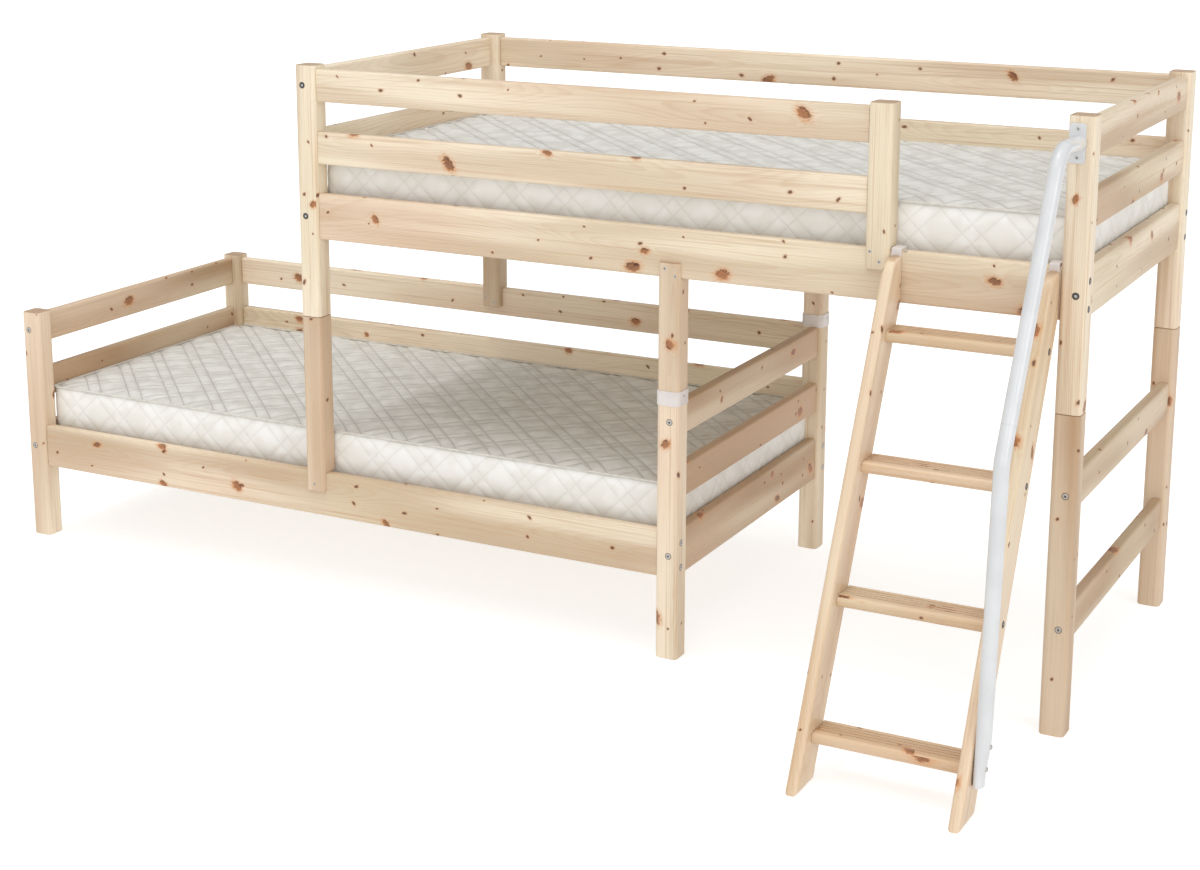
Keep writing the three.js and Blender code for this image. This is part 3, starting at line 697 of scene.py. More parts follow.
def drawn_in(outline, depth):
    """An outline moved inwards. Its points run anticlockwise."""
    moved = []
    for i, point in enumerate(outline):
        before = (point - outline[i - 1]).normalized()
        after = (outline[(i + 1) % len(outline)] - point).normalized()
        first = Vector((-before.y, before.x))
        second = Vector((-after.y, after.x))
        moved.append(point + (first + second) * (depth / (1 + first.dot(second))))
    return moved


def slab(name, outline, from_x, to_x, rounding, steps, place):
    """A body along X from an outline of (y, z) in millimetres. place takes x, y, z to the frame."""
    outline = [Vector(p) for p in outline]
    rings = []
    for i in range(steps + 1):
        angle = QUARTER * i / steps
        inset = rounding * (1 - math.sin(angle))
        rings.append((from_x + rounding * (1 - math.cos(angle)), inset))
    rings += [(from_x + to_x - x, inset) for x, inset in reversed(rings)]
    return ringed_body(name, [[place(x, *p) for p in drawn_in(outline, inset)] for x, inset in rings])


def arc_points(centre, radius, from_angle, to_angle, steps):
    """Points of an arc, angles in degrees."""
    points = []
    for i in range(steps + 1):
        angle = math.radians(from_angle + (to_angle - from_angle) * i / steps)
        points.append((centre[0] + radius * math.cos(angle), centre[1] + radius * math.sin(angle)))
    return points


def rounded_outline(half_x, half_y, corner, steps, inset=0.0):
    """A rectangle with round corners about the origin, drawn in by an inset."""
    points = []
    for angle, side_x, side_y in ((0, 1, 1), (90, -1, 1), (180, -1, -1), (270, 1, -1)):
        centre = (side_x * (half_x - corner), side_y * (half_y - corner))
        points += arc_points(centre, corner - inset, angle, angle + 90, steps)
    return points


# %% [markdown]
# ## The ladder
#
# Two stringers slant from the floor to the upper side rail. Each is cut level at its foot,
# upright where it meets the rail, and round at its top, so an outline in the side view and
# a generous round edge make it. The treads have a round nose and four grooves for grip.

# %% Stringers
FOOT_REACH = 566
RAIL_FACE = 9.7
STRINGER_WIDTH = 95
STRINGER_EDGE = 9
LEAN_HEIGHT = 981
STRINGER_TOP = 1089
TOP_FLAT = 16
TOP_ROUND = 46

run = FOOT_REACH + RAIL_FACE
slope = math.asin(STRINGER_WIDTH / math.hypot(run, LEAN_HEIGHT)) + math.atan2(LEAN_HEIGHT, run)
level_width = STRINGER_WIDTH / math.sin(slope)


def front_edge(z):
    """How far forward a stringer's front edge lies at a height."""
    return -FOOT_REACH + z / math.tan(slope)


def curve_points(start, pull, end, steps):
    """Points of a curve from start to end that is drawn towards pull, without its start."""
    points = []
    for i in range(1, steps + 1):
        t = i / steps
        weights = ((1 - t) ** 2, 2 * t * (1 - t), t ** 2)
        pairs = list(zip(weights, (start, pull, end)))
        points.append(tuple(sum(w * p[k] for w, p in pairs) for k in (0, 1)))
    return points


def stringer_outline():
    start = (RAIL_FACE - TOP_FLAT, STRINGER_TOP)
    pull = (front_edge(STRINGER_TOP), STRINGER_TOP)
    end = (front_edge(STRINGER_TOP - TOP_ROUND), STRINGER_TOP - TOP_ROUND)
    foot = [(front_edge(0), 0), (front_edge(0) + level_width, 0)]
    return [*foot, (RAIL_FACE, LEAN_HEIGHT), (RAIL_FACE, STRINGER_TOP), start,
            *curve_points(start, pull, end, 10)]


along_ladder = Vector((0.0, math.cos(slope), math.sin(slope)))
across_ladder = Vector((1.0, 0.0, 0.0)).cross(along_ladder)
LADDER_LIE = Matrix((along_ladder, across_ladder, Vector((1.0, 0.0, 0.0)))).transposed()

for side in ("left", "right"):
    node = f"ladder_stringer_{side}"
    low, high = box_in_mm(node)
    hook_low, hook_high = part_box(f"ladder_hook_{side}")
    piece = slab(node + "_wood", stringer_outline(), low.x, high.x, STRINGER_EDGE, 5, spot)
    slot_low = hook_low - Vector((GAP, GAP, GAP))
    slot_high = Vector((hook_high.x + GAP, hook_high.y + 0.1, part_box(node)[1].z + CLEAR))
    piece = soft_edges(painted(carve(piece, slot_low, slot_high), lacquered_pine))
    mark_wood(piece, LADDER_LIE, 0.4, 0.2)
    stands_for(piece, "lacquered_pine", node)
print("slope of the ladder in degrees:", round(math.degrees(slope), 1))

# %% Treads
TREADS = 4
TREAD_THICKNESS = 27
TREAD_NOSE = 11
TREAD_CORNER = 3
TREAD_EASE = 0.4
GROOVES = 4
FIRST_GROOVE = 25
GROOVE_STEP = 12.5
GROOVE_RADIUS = 3.2
GROOVE_LIFT = 0.6
# Between these depths, and these far from the nose and the back edge, a face is in a groove.
GROOVE_DEPTHS = (0.2 * MM, 4 * MM)
PLAIN_NOSE = 18 * MM
PLAIN_BACK = 4 * MM
# How strong the painted shade in the tread grooves is.
GROOVE_SHADE = 0.75


def tread_outline(depth):
    thick, nose, corner = TREAD_THICKNESS, TREAD_NOSE, TREAD_CORNER
    points = arc_points((nose, thick - nose), nose, 90, 180, 8)
    points += arc_points((nose, nose), nose, 180, 270, 8)
    points += arc_points((depth - corner, corner), corner, 270, 360, 3)
    points += arc_points((depth - corner, thick - corner), corner, 0, 90, 3)
    for i in reversed(range(GROOVES)):
        middle = (FIRST_GROOVE + GROOVE_STEP * i, thick + GROOVE_LIFT)
        points += arc_points(middle, GROOVE_RADIUS, -11, -169, 8)
    return points


def paint_groove_shade(piece, low, high):
    """Marks the faces inside a tread's grooves for painted shade, through the same mark as end grain.
    """
    cut = piece.data.attributes["cut"]
    shallow, deep = GROOVE_DEPTHS
    for face in piece.data.polygons:
        under_top = shallow < high.z - face.center.z < deep
        behind_nose = low.y + PLAIN_NOSE < face.center.y < high.y - PLAIN_BACK
        if under_top and behind_nose:
            cut.data[face.index].value = GROOVE_SHADE


for i in range(1, TREADS + 1):
    node = f"ladder_tread_{i}"
    low, high = box_in_mm(node)
    piece = slab(node + "_wood", tread_outline(high.y - low.y), low.x, high.x, TREAD_EASE, 1,
                 lambda x, y, z: spot(x, low.y + y, low.z + z))
    piece = soft_edges(painted(piece, lacquered_pine), 50)
    # The lowest tread is darker: painted shade near the floor.
    mark_wood(piece, Matrix.Identity(3), 1.0 if i == 1 else 0.85, 0.6)
    paint_groove_shade(piece, *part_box(node))
    stands_for(piece, "lacquered_pine", node)
print("treads:", TREADS)

# %% [markdown]
# ## White plastic
#
# The hooks that hang the ladder and the collars round two joints are moulded plastic. Such
# plastic is never one flat white: it has a faint mottle, it is duller where hands rub it, and
# its skin carries a very fine grain. The hooks are slabs, and a collar is a square ring.


# %% Moulded plastic
def plain_finish(name, first, second, roughness, spread, mottle, skin_scale, skin_height, fixed=()):
    """A finish of two close colours with mottled gloss and a fine skin."""
    material, tree = new_finish(name)
    cloud, skin = (
        tree.noise(tree.add("ShaderNodeTexCoord", None, (), "Object"), scale, detail)
        for scale, detail in ((mottle, 2.0), (skin_scale, 1.0)))
    shade = tree.mix(screen_colour(*first), screen_colour(*second), cloud.smooth(0.35, 0.65))
    bump = {"Strength": 0.3, "Distance": skin_height, "Height": skin}
    tree.surface({
        "Base Color": shade,
        "Roughness": roughness + (cloud - 0.5) * spread,
        "Normal": tree.add("ShaderNodeBump", None, bump),
        **dict(fixed),
    })
    return material


white_plastic = plain_finish("white plastic", (228, 221, 217), (220, 211, 207),
                             0.45, 0.12, 30.0, 2500.0, 0.0001)

# %% Hooks and collars
HOOK_PLATE = 4
HOOK_CORNER = 4
HOOK_EASE = 1.2
HOOK_LIP = 24
HOOK_PLAY = 0.3
COLLAR_WALL = 2.2 * MM
COLLAR_CORNER = 14.6 * MM
COLLAR_EASE = 0.7 * MM
COLLAR_LIP = 2.5 * MM


def hook_outline(low, high, rail_high):
    """The hook's side in millimetres from the bed's front left corner."""
    front, back, top = low.y, high.y, high.z - HOOK_CORNER
    over, behind = rail_high.z + HOOK_PLAY, rail_high.y + HOOK_PLAY
    lip = rail_high.z - HOOK_LIP
    points = [(front, low.z), (front + HOOK_PLATE, low.z), (front + HOOK_PLATE, over),
              (behind, over), (behind, lip), (back, lip)]
    points += arc_points((back - HOOK_CORNER, top), HOOK_CORNER, 0, 90, 5)
    points += arc_points((front + HOOK_CORNER, top), HOOK_CORNER, 90, 180, 5)
    return points


rail_high = box_in_mm("upper_side_rail_front")[1]
for side in ("left", "right"):
    node = f"ladder_hook_{side}"
    low, high = box_in_mm(node)
    outline = hook_outline(low, high, rail_high)
    piece = slab(node + "_moulding", outline, low.x, high.x, HOOK_EASE, 3, spot)
    stands_for(soft_edges(painted(piece, white_plastic)), "white_plastic", node)

for side in ("front", "back"):
    node = f"collar_{side}"
    low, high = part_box(node)
    low.z -= COLLAR_LIP
    high.z += COLLAR_LIP
    middle, half = (low + high) / 2, (high.x - low.x) / 2
    rings = []
    for inset, z in ((COLLAR_WALL, low.z), (COLLAR_EASE, low.z), (0, low.z + COLLAR_EASE),
                     (0, high.z - COLLAR_EASE), (COLLAR_EASE, high.z), (COLLAR_WALL, high.z),
                     (COLLAR_WALL, low.z)):
        ring = rounded_outline(half, half, COLLAR_CORNER, 5, inset)
        rings.append([(middle.x + x, middle.y + y, z) for x, y in ring])
    piece = painted(ringed_body(node + "_moulding", rings, False), white_plastic)
    stands_for(soft_edges(piece), "white_plastic", node)
print("hooks: 2, collars: 2")

# %% [markdown]
# ## The handrail
#
# The handrail is two tubes bent on a former, so its centre line is straight stretches joined
# by arcs of one radius. A tree draws just that: Fillet Curve rounds the corner of a line, and
# Curve to Mesh sweeps a circle along it. The lower end is pressed flat against the stringer,
# and the upper one is welded to a small plate.

# %% The bent tube tree
TUBE_RADIUS = 17
BEND = 70

white_steel = plain_finish("white steel", (222, 223, 224), (215, 216, 217), 0.22, 0.06, 12.0, 420.0,
                           0.00008, {"Coat Weight": 0.5, "Coat Roughness": 0.08})


def tube_tree():
    tree, given = new_tree("bent tube", {"Radius": "Float", "Bend": "Float", "Sides": "Int"})
    bent = tree.add("GeometryNodeFilletCurve", {"mode": "POLY"}, {
        "Curve": given["Geometry"], "Count": 14, "Radius": given["Bend"], "Limit Radius": True,
    })
    close = tree.add("GeometryNodeResampleCurve", {"mode": "LENGTH"}, {"Curve": bent, "Length": 0.01})
    ring = tree.add("GeometryNodeCurvePrimitiveCircle", None, {
        "Resolution": given["Sides"], "Radius": given["Radius"],
    })
    swept = tree.add("GeometryNodeCurveToMesh", None, {
        "Curve": close, "Profile Curve": ring, "Fill Caps": True,
    })
    return end_tree(tree, swept, white_steel)


bent_tube = tube_tree()


def tube(name, points, radius, bend=BEND, sides=32, closed=False):
    line = bpy.data.curves.new(name, "CURVE")
    line.dimensions = "3D"
    spline = line.splines.new("POLY")
    spline.points.add(len(points) - 1)
    for target, point in zip(spline.points, points):
        target.co = (*point, 1.0)
    spline.use_cyclic_u = closed
    values = {"Radius": radius * MM, "Bend": bend * MM, "Sides": sides}
    return run_tree(new_piece(name, line), bent_tube, values)


# %% The lower tube
FLAT_LENGTH = 120
FLAT_HALF = 12
FLAT_SPREAD = 0.6
BEFORE_MIDDLE = 9
FOOT_X = 3040.5
FOOT_Z = 78
FOOT_Y = front_edge(FOOT_Z) + level_width / 2 - BEFORE_MIDDLE
KNEE_RUN = 47
KNEE_RISE = 697
ELBOW = (3055, -165, 1384)
JOINT_PAST_KNEE = 76
SEAM = 0.4 * MM

foot = spot(FOOT_X, FOOT_Y, FOOT_Z)
knee = spot(FOOT_X, FOOT_Y + KNEE_RUN, FOOT_Z + KNEE_RISE)
elbow = spot(*ELBOW)
rise = (knee - foot).normalized()
climb = (elbow - knee).normalized()
tube_joint = knee + climb * JOINT_PAST_KNEE * MM


def pressed_in(above_foot):
    """How far each side of the tube is pressed in, at a height above its foot in millimetres."""
    share = held(above_foot / FLAT_LENGTH)
    return (TUBE_RADIUS - FLAT_HALF) * (1 + math.cos(math.pi * share)) / 2


lower_tube = tube("handrail_lower_tube", [foot, knee, tube_joint - climb * SEAM], TUBE_RADIUS)
for vertex in lower_tube.data.vertices:
    above_foot = (vertex.co - foot).dot(rise)
    if above_foot < FLAT_LENGTH * MM:
        pressed = pressed_in(above_foot / MM)
        centre = foot + rise * above_foot
        off = vertex.co - centre
        off.x *= (TUBE_RADIUS - pressed) / TUBE_RADIUS
        off.y *= (TUBE_RADIUS + pressed * FLAT_SPREAD) / TUBE_RADIUS
        vertex.co = centre + off - Vector((pressed * MM, 0, 0))
stands_for(soft_edges(lower_tube), "white_steel", "handrail_lower")
print("length up to the joint:", round((tube_joint - foot).length, 3))

# %% The upper tube and its plate
TUBE_END_X = 3051
PLATE_X = 3048
PLATE_Z = 1376
PLATE_FACE = -4.3
PLATE_BACK = -0.3
PLATE_HALF = (18.5, 44)
PLATE_CORNER = 6
PLATE_EASE = 0.8
SLEEVE_HALF = 3 * MM

tube_end = spot(TUBE_END_X, -2.3, PLATE_Z)
upper_tube = tube("handrail_upper_tube", [tube_joint + climb * SEAM, elbow, tube_end], TUBE_RADIUS)
stands_for(soft_edges(upper_tube), "white_steel", "handrail_upper")

TRIM = {
    "handrail_bead": ([spot(TUBE_END_X, y, PLATE_Z) for y in (-7.0, -4.0)], TUBE_RADIUS + 1.0),
    "handrail_sleeve": ([tube_joint + climb * way * SLEEVE_HALF for way in (-1, 1)], TUBE_RADIUS - 0.8),
}
for name, (ends, radius) in TRIM.items():
    stands_for(soft_edges(tube(name, ends, radius)), "white_steel")

plate_outline = [(PLATE_X + x, PLATE_Z + z) for x, z in rounded_outline(*PLATE_HALF, PLATE_CORNER, 5)]
plate = slab("handrail_plate", plate_outline, PLATE_FACE, PLATE_BACK, PLATE_EASE, 3,
             lambda y, x, z: spot(x, y, z))
stands_for(soft_edges(painted(plate, white_steel)), "white_steel")
print("pieces of trim on the handrail:", len(TRIM) + 1)

# %% [markdown]
# ## Bolts and screws
#
# Each bed is held together by bolts whose heads sit in shallow round recesses, and the laps,
# the hooks and the handrail by small screws. A head is turned once, and a tree then puts a
# copy of it on every point of a list, faced the way that the point says. That is what
# Instance on Points is for.

# %% Finishes of the fasteners
zinc = plain_finish("zinc", (205, 203, 198), (188, 186, 180), 0.32, 0.15, 160.0, 900.0, 0.0001,
                    {"Metallic": 0.9})
dark_steel = plain_finish("dark steel", (104, 104, 106), (84, 84, 86), 0.34, 0.15, 160.0, 900.0,
                          0.0001, {"Metallic": 0.85})
recess = plain_finish("shaded recess", (96, 66, 44), (70, 48, 34), 0.8, 0.1, 200.0, 900.0, 0.0001)


# %% Turned heads
HEAD_SIDES = 20


def turned(name, profile, material):
    """A body of revolution about Z from a profile of (radius, height) in millimetres."""
    turns = [2 * math.pi * i / HEAD_SIDES for i in range(HEAD_SIDES)]
    rings = [[Vector((radius * math.cos(a), radius * math.sin(a), height)) * MM for a in turns]
             for radius, height in profile]
    piece = painted(ringed_body(name, rings), material)
    piece.data.shade_smooth()
    piece.data.set_sharp_from_angle(angle=math.radians(35))
    return piece


def copied_on_points(tree, original, points, **more):
    """Puts a copy of an object on every point."""
    copy = tree.add("GeometryNodeObjectInfo", {"transform_space": "ORIGINAL"},
                    {"Object": original, "As Instance": True}, "Geometry")
    inputs = {"Points": points, "Instance": copy, **more}
    return tree.add("GeometryNodeInstanceOnPoints", None, inputs)


def heads(name, places, head, material):
    """One piece that holds a head at each (x, y, z, facing)."""
    tree, given = new_tree(name, {"Head": "Object"})
    facing = tree.add("GeometryNodeInputNamedAttribute", {"data_type": "FLOAT_VECTOR"},
                      {"Name": "facing"})
    turn = tree.add("FunctionNodeAlignRotationToVector", {"axis": "Z"}, {"Vector": facing})
    copies = copied_on_points(tree, given["Head"], given["Geometry"], Rotation=turn)
    mesh = bpy.data.meshes.new(name)
    mesh.from_pydata([spot(x, y, z) for x, y, z, _ in places], [], [])
    facing = mesh.attributes.new("facing", "FLOAT_VECTOR", "POINT")
    for item, place in zip(facing.data, places):
        item.vector = place[3]
    return run_tree(new_piece(name, mesh), end_tree(tree, copies, material), {"Head": head})


# %% Where the fasteners are
FRONT = (0.0, -1.0, 0.0)
BACK = (0.0, 1.0, 0.0)
LEFT = (-1.0, 0.0, 0.0)
RIGHT = (1.0, 0.0, 0.0)
UP = (0.0, 0.0, 1.0)
LENGTH = 2100
WIDTH = 1000
SHIFT = 985
LIFT = 766
BOLT_IN = 24
END_BOARD_BOLTS = (272, 617.5)
SIDE_RAIL_BOLTS = (240, 304)
CROSS_RAIL_BOLTS = (260, 578)
LEG_BOLT_X = 3061
BACK_POST_Y = WIDTH - 60
COLLAR_FACE = 2102.6
PLATE_SCREW = 32
FOOT_SCREWS = (117, 167)


def frame_bolts(shift, lift):
    """The bolts of one bed: into the end boards from front and back, into the sides at each end."""
    places = []
    for x in (BOLT_IN, LENGTH - BOLT_IN):
        for z in END_BOARD_BOLTS:
            places.append((shift + x, 0, lift + z, FRONT))
            places.append((shift + x, WIDTH, lift + z, BACK))
    for y in (BOLT_IN, WIDTH - BOLT_IN):
        for z in SIDE_RAIL_BOLTS:
            places.append((shift, y, lift + z, LEFT))
            places.append((shift + LENGTH, y, lift + z, RIGHT))
    return places


def under_plate(bolt):
    """Whether the handrail's plate covers a bolt."""
    x, y, z, _ = bolt
    return x > PLATE_X and y == 0 and z > PLATE_Z


bright_bolts = frame_bolts(0, 0)
dark_bolts = [bolt for bolt in frame_bolts(SHIFT, LIFT) if not under_plate(bolt)]
for z in CROSS_RAIL_BOLTS:
    bright_bolts += [(LEG_BOLT_X, 0, z, FRONT), (LEG_BOLT_X, WIDTH, z, BACK)]
ladder_left = box_in_mm("ladder_stringer_left")[0].x
ladder_right = box_in_mm("ladder_stringer_right")[1].x
for i in range(1, TREADS + 1):
    low, high = box_in_mm(f"ladder_tread_{i}")
    middle = (low + high) / 2
    dark_bolts.append((ladder_left, middle.y, middle.z, LEFT))
    dark_bolts.append((ladder_right, middle.y, middle.z, RIGHT))

support_screws = [(2060, 1001), (2088, 984)]
guard_screws = [(2581, 1093), (2604, 1070)]
hanger_screws = [(998, 635), (1026, 619)]
screws = [(x, 0, z, FRONT) for x, z in support_screws + guard_screws]
screws += [(x, BACK_POST_Y, z, FRONT) for x, z in hanger_screws]
screws += [(1013, 0, 301, FRONT)]
screws += [(x, BACK_POST_Y, z, FRONT) for x, z in support_screws]
screws += [(COLLAR_FACE, y, 682, RIGHT) for y in (26, 974)]
screws += [(PLATE_X + 1, PLATE_FACE, PLATE_Z + way * PLATE_SCREW, FRONT) for way in (1, -1)]
screws += [(2663, 14, 1099, UP)]
foot_screws = []
for z in FOOT_SCREWS:
    outer_face = FOOT_X + TUBE_RADIUS - 2 * pressed_in(z - FOOT_Z)
    foot_screws.append((outer_face, FOOT_Y + KNEE_RUN * (z - FOOT_Z) / KNEE_RISE, z, RIGHT))

# %% All the heads
HEADS = {
    "bright_bolt_heads": (
        bright_bolts, [(7.2, -1.0), (7.2, 0.4), (6.6, 1.0), (2.9, 1.0), (2.7, -0.4)], zinc),
    # Painted shade: dark discs in the sockets of the bright bolts.
    "bright_bolt_sockets": (
        bright_bolts, [(2.85, -0.5), (2.85, 0.7), (2.4, 0.75), (0.8, 0.3)], dark_steel),
    "dark_bolt_heads": (
        dark_bolts, [(7.4, -1.0), (7.4, 0.5), (6.6, 1.1), (3.6, 1.1), (3.4, 0.2)], dark_steel),
    # Painted highlight: zinc discs in the sockets of the dark bolts.
    "dark_bolt_sockets": (
        dark_bolts, [(3.3, -0.6), (3.3, 0.5), (1.2, 0.7), (0.8, 0.3)], zinc),
    # Painted shade: dark brown rings round the bolt heads, where the recesses are shaded.
    "bolt_recesses": (
        bright_bolts + dark_bolts, [(8.5, -0.6), (8.5, 0.12), (7.2, 0.12), (7.2, -0.6)], recess),
    "screw_heads": (
        screws, [(4.2, -0.6), (4.1, 0.5), (3.1, 0.9), (1.7, 0.9), (1.5, -0.1)], zinc),
    # Painted shade: dark discs in the recesses of the screw heads.
    "screw_sockets": (
        screws, [(1.65, -0.4), (1.65, 0.35), (0.6, 0.3)], dark_steel),
    "foot_screw_heads": (
        foot_screws, [(5.2, -1.5), (5.2, 1.0), (4.3, 2.6), (2.2, 3.3), (1.9, 1.8)], zinc),
}
for name, (places, profile, finish) in HEADS.items():
    template = turned(name + "_one", profile, finish)
    stands_for(heads(name, places, template, finish), "pine" if finish is recess else "zinc")
    bpy.data.objects.remove(template)
print("bolts:", len(bright_bolts + dark_bolts), "screws:", len(screws + foot_screws))

# %% [markdown]
# ## Slatted bases
#
# Under each mattress lies a roll of birch slats on two straps. The slats are all alike and a
# fixed step apart, so one slat is made from the timber tree, and a Mesh Line with Instance on
# Points lays out the rest.

# %% Slats and straps
SLATS = 15
SLAT_WIDTH = 70 * MM
SLAT_EDGES = (4, 2)
STRAP_IN = 230 * MM
STRAP_SHORTER = 1 * MM
STRAP_HALF = 14 * MM
STRAP_THICKNESS = 1 * MM
STRAP_EDGES = (0.4, 0.4)

birch = pine_finish("birch", (236, 218, 184), (228, 206, 168), (214, 186, 142),
                    knot=(190, 150, 104), heart=(150, 110, 74), roughness=0.55, coat=0.0)
webbing = plain_finish("webbing", (238, 236, 230), (226, 223, 215), 0.85, 0.1, 90.0, 1400.0, 0.0004)


def slats_tree():
    tree, given = new_tree("row of slats", {"Slat": "Object", "Count": "Int", "Step": "Float"})
    line = tree.add("GeometryNodeMeshLine", None, {
        "Count": given["Count"], "Offset": tree.combine(given["Step"], 0.0, 0.0),
    })
    return end_tree(tree, copied_on_points(tree, given["Slat"], line), birch)


row_of_slats = slats_tree()
for level in ("lower", "upper"):
    node = f"{level}_slatted_base"
    low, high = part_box(node)
    slat_low = Vector((low.x, low.y, low.z + STRAP_THICKNESS))
    slat_high = Vector((low.x + SLAT_WIDTH, high.y, high.z))
    slat, _ = timber(f"{level} slat", slat_low, slat_high, *SLAT_EDGES)
    row = run_tree(new_piece(node + "_slats", bpy.data.meshes.new(node)), row_of_slats, {
        "Slat": slat, "Count": SLATS, "Step": (high.x - low.x - SLAT_WIDTH) / (SLATS - 1),
    })
    bpy.data.objects.remove(slat)
    row = soft_edges(row)
    mark_wood(row, LIE["y"], 0.4, 0.0)
    stands_for(row, "birch", node)
    for i, y in enumerate((low.y + STRAP_IN, high.y - STRAP_IN)):
        strap_low = Vector((low.x + STRAP_SHORTER, y - STRAP_HALF, low.z))
        strap_high = Vector((high.x - STRAP_SHORTER, y + STRAP_HALF, low.z + STRAP_THICKNESS))
        strap, _ = timber(f"{node}_strap_{i + 1}", strap_low, strap_high, *STRAP_EDGES)
        stands_for(painted(strap, webbing), "ticking")
print("slats in each base:", SLATS)

# %% [markdown]
# ## The mattresses
#
# A mattress is a soft block in a quilted cover, so it is never quite flat. First a plain
# rounded block is remeshed into even squares. Then Cloth, with a little pressure inside and
# its edges pinned, blows it up, and a cap on how far a point may go keeps it firm. Both
# mattresses are alike, so the cloth is worked out once, and the second is turned half round.

# %% The stuffed block
MATTRESS_CORNER = 15
BORDER = 138
COVER_LONGER = 8 * MM
COVER_NARROWER = 2 * MM
BLOCK_CORNER = 9
BLOCK_ROUNDING = 7
BLOCK_FOOT = 0.4
BLOCK_HEIGHT = BORDER + 3.5
VOXEL = 0.015
TOP_SWELL = 5 * MM
SIDE_SWELL = 3 * MM
CLOTH = {
    "quality": 4, "mass": 0.3, "tension_stiffness": 12, "compression_stiffness": 12,
    "bending_stiffness": 2, "use_pressure": True, "uniform_pressure_force": 4,
}
CLOTH_FRAMES = 20
# The pinned foot and edge as shares of the height, and how level the free top is.
FOOT_END = 0.12
EDGE_START = 0.86
FLAT_TOP = 0.97
TOP_SLOPE = 0.7


def swell(piece, top):
    """Blows a piece up with Cloth, pinned at its foot and round the edge of its top."""
    mesh = piece.data
    start = [v.co.copy() for v in mesh.vertices]
    pins = piece.vertex_groups.new(name="pins")
    for vertex in mesh.vertices:
        height = vertex.co.z / top
        at_edge = height > EDGE_START and abs(vertex.normal.z) < FLAT_TOP
        if height < FOOT_END or at_edge:
            pins.add([vertex.index], 1.0, "REPLACE")
    cloth = piece.modifiers.new("stuffing", "CLOTH")
    cloth.settings.vertex_group_mass = "pins"
    for name, value in CLOTH.items():
        setattr(cloth.settings, name, value)
    cloth.settings.effector_weights.gravity = 0
    cloth.collision_settings.use_collision = False
    cloth.point_cache.frame_start = 1
    cloth.point_cache.frame_end = CLOTH_FRAMES
    for number in range(1, CLOTH_FRAMES + 1):
        bpy.context.scene.frame_set(number)
    depsgraph = bpy.context.evaluated_depsgraph_get()
    swollen = [v.co.copy() for v in piece.evaluated_get(depsgraph).data.vertices]
    piece.modifiers.remove(cloth)
    bpy.context.scene.frame_set(1)
    moves = [after - before for before, after in zip(start, swollen)]
    for vertex, before, move in zip(mesh.vertices, start, moves):
        cap = TOP_SWELL if vertex.normal.z > TOP_SLOPE else SIDE_SWELL
        vertex.co = before + move * min(1.0, cap / max(move.length, 1e-9))
    print("cloth moved points by up to", round(max(m.length for m in moves), 4), "m")


def stuffed_block(half_x, half_y):
    """A mattress without its quilting, about the middle of its underside."""
    outline = rounded_outline(half_x / MM, half_y / MM, BLOCK_CORNER, 6)
    piece = slab("mattress", outline, BLOCK_FOOT, BLOCK_HEIGHT, BLOCK_ROUNDING, 3,
                 lambda z, x, y: Vector((x, y, z)) * MM)
    remesh = piece.modifiers.new("even squares", "REMESH")
    remesh.mode = "VOXEL"
    remesh.voxel_size = VOXEL
    piece = plain_mesh(piece)
    swell(piece, BLOCK_HEIGHT * MM)
    finer = piece.modifiers.new("finer", "SUBSURF")
    finer.levels = finer.render_levels = 1
    return plain_mesh(piece)


mattress_low, mattress_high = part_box("lower_mattress")
mattress_half = (mattress_high - mattress_low) / 2
cover_x = mattress_half.x + COVER_LONGER
cover_y = mattress_half.y - COVER_NARROWER
block = stuffed_block(cover_x, cover_y)
print("squares in the stuffed block:", len(block.data.polygons))

# %% [markdown]
# The quilting is a lattice of stitched lines at 45 degrees, always two lines side by side, on
# the top and on the border alike. Each point of the block is drawn in by how near it is to a
# line, so that squares of padding stand up between them. The same lattice is drawn in the
# finish, where it is sharper than the mesh: a narrow groove, its stitches, painted shade along
# the grooves and between the puffs, and the small crinkles of the cover.

# %% Quilting
STEP = 0.150
PAIR = 0.046
FIRST = 0.036
LINE_STARTS = (FIRST, FIRST + PAIR)
PUFF_TOP = 4.5 * MM
PUFF_SIDE = 1.4 * MM
PUFF_WIDTH = 9 * MM
PUFF_REST = 0.8
PLAIN_FOOT = 12 * MM
SIDE_SLOPE = 0.6
SLOPE_FADE = 0.35


def off_line(s):
    """How far a point is from the nearest line of one direction, square to the line."""
    steps = [(s - start) / STEP for start in LINE_STARTS]
    return min(abs(n - round(n)) for n in steps) * STEP / math.sqrt(2)


def panel_place(p, normal):
    """The place on the cover's own plane: along and across its top, or along and up its border."""
    if abs(normal.z) > SIDE_SLOPE:
        return p.x, p.y
    if abs(normal.y) > abs(normal.x):
        return p.x, p.z
    return p.y, p.z


def quilt(block):
    mesh = block.data
    normals = [v.normal.copy() for v in mesh.vertices]
    side = mesh.attributes.new("border", "FLOAT", "POINT")
    for vertex, normal, mark in zip(mesh.vertices, normals, side.data):
        u, v = panel_place(vertex.co, normal)
        puffs = [1 - math.exp(-(off_line(s) / PUFF_WIDTH) ** 2 * 0.5) for s in (u + v, u - v)]
        is_side = abs(normal.z) < SIDE_SLOPE
        mark.value = 1.0 if is_side else 0.0
        if vertex.co.z < PLAIN_FOOT:
            continue
        fade = min(1.0, abs(abs(normal.z) - SIDE_SLOPE) / SLOPE_FADE)
        depth = PUFF_SIDE if is_side else PUFF_TOP
        vertex.co += normal * depth * fade * (puffs[0] * puffs[1] - PUFF_REST)
    cover = mesh.uv_layers.new(name="cover")
    for face in mesh.polygons:
        for corner in face.loop_indices:
            p = mesh.vertices[mesh.loops[corner].vertex_index].co
            cover.data[corner].uv = panel_place(p, face.normal)
    mesh.shade_smooth()


quilt(block)

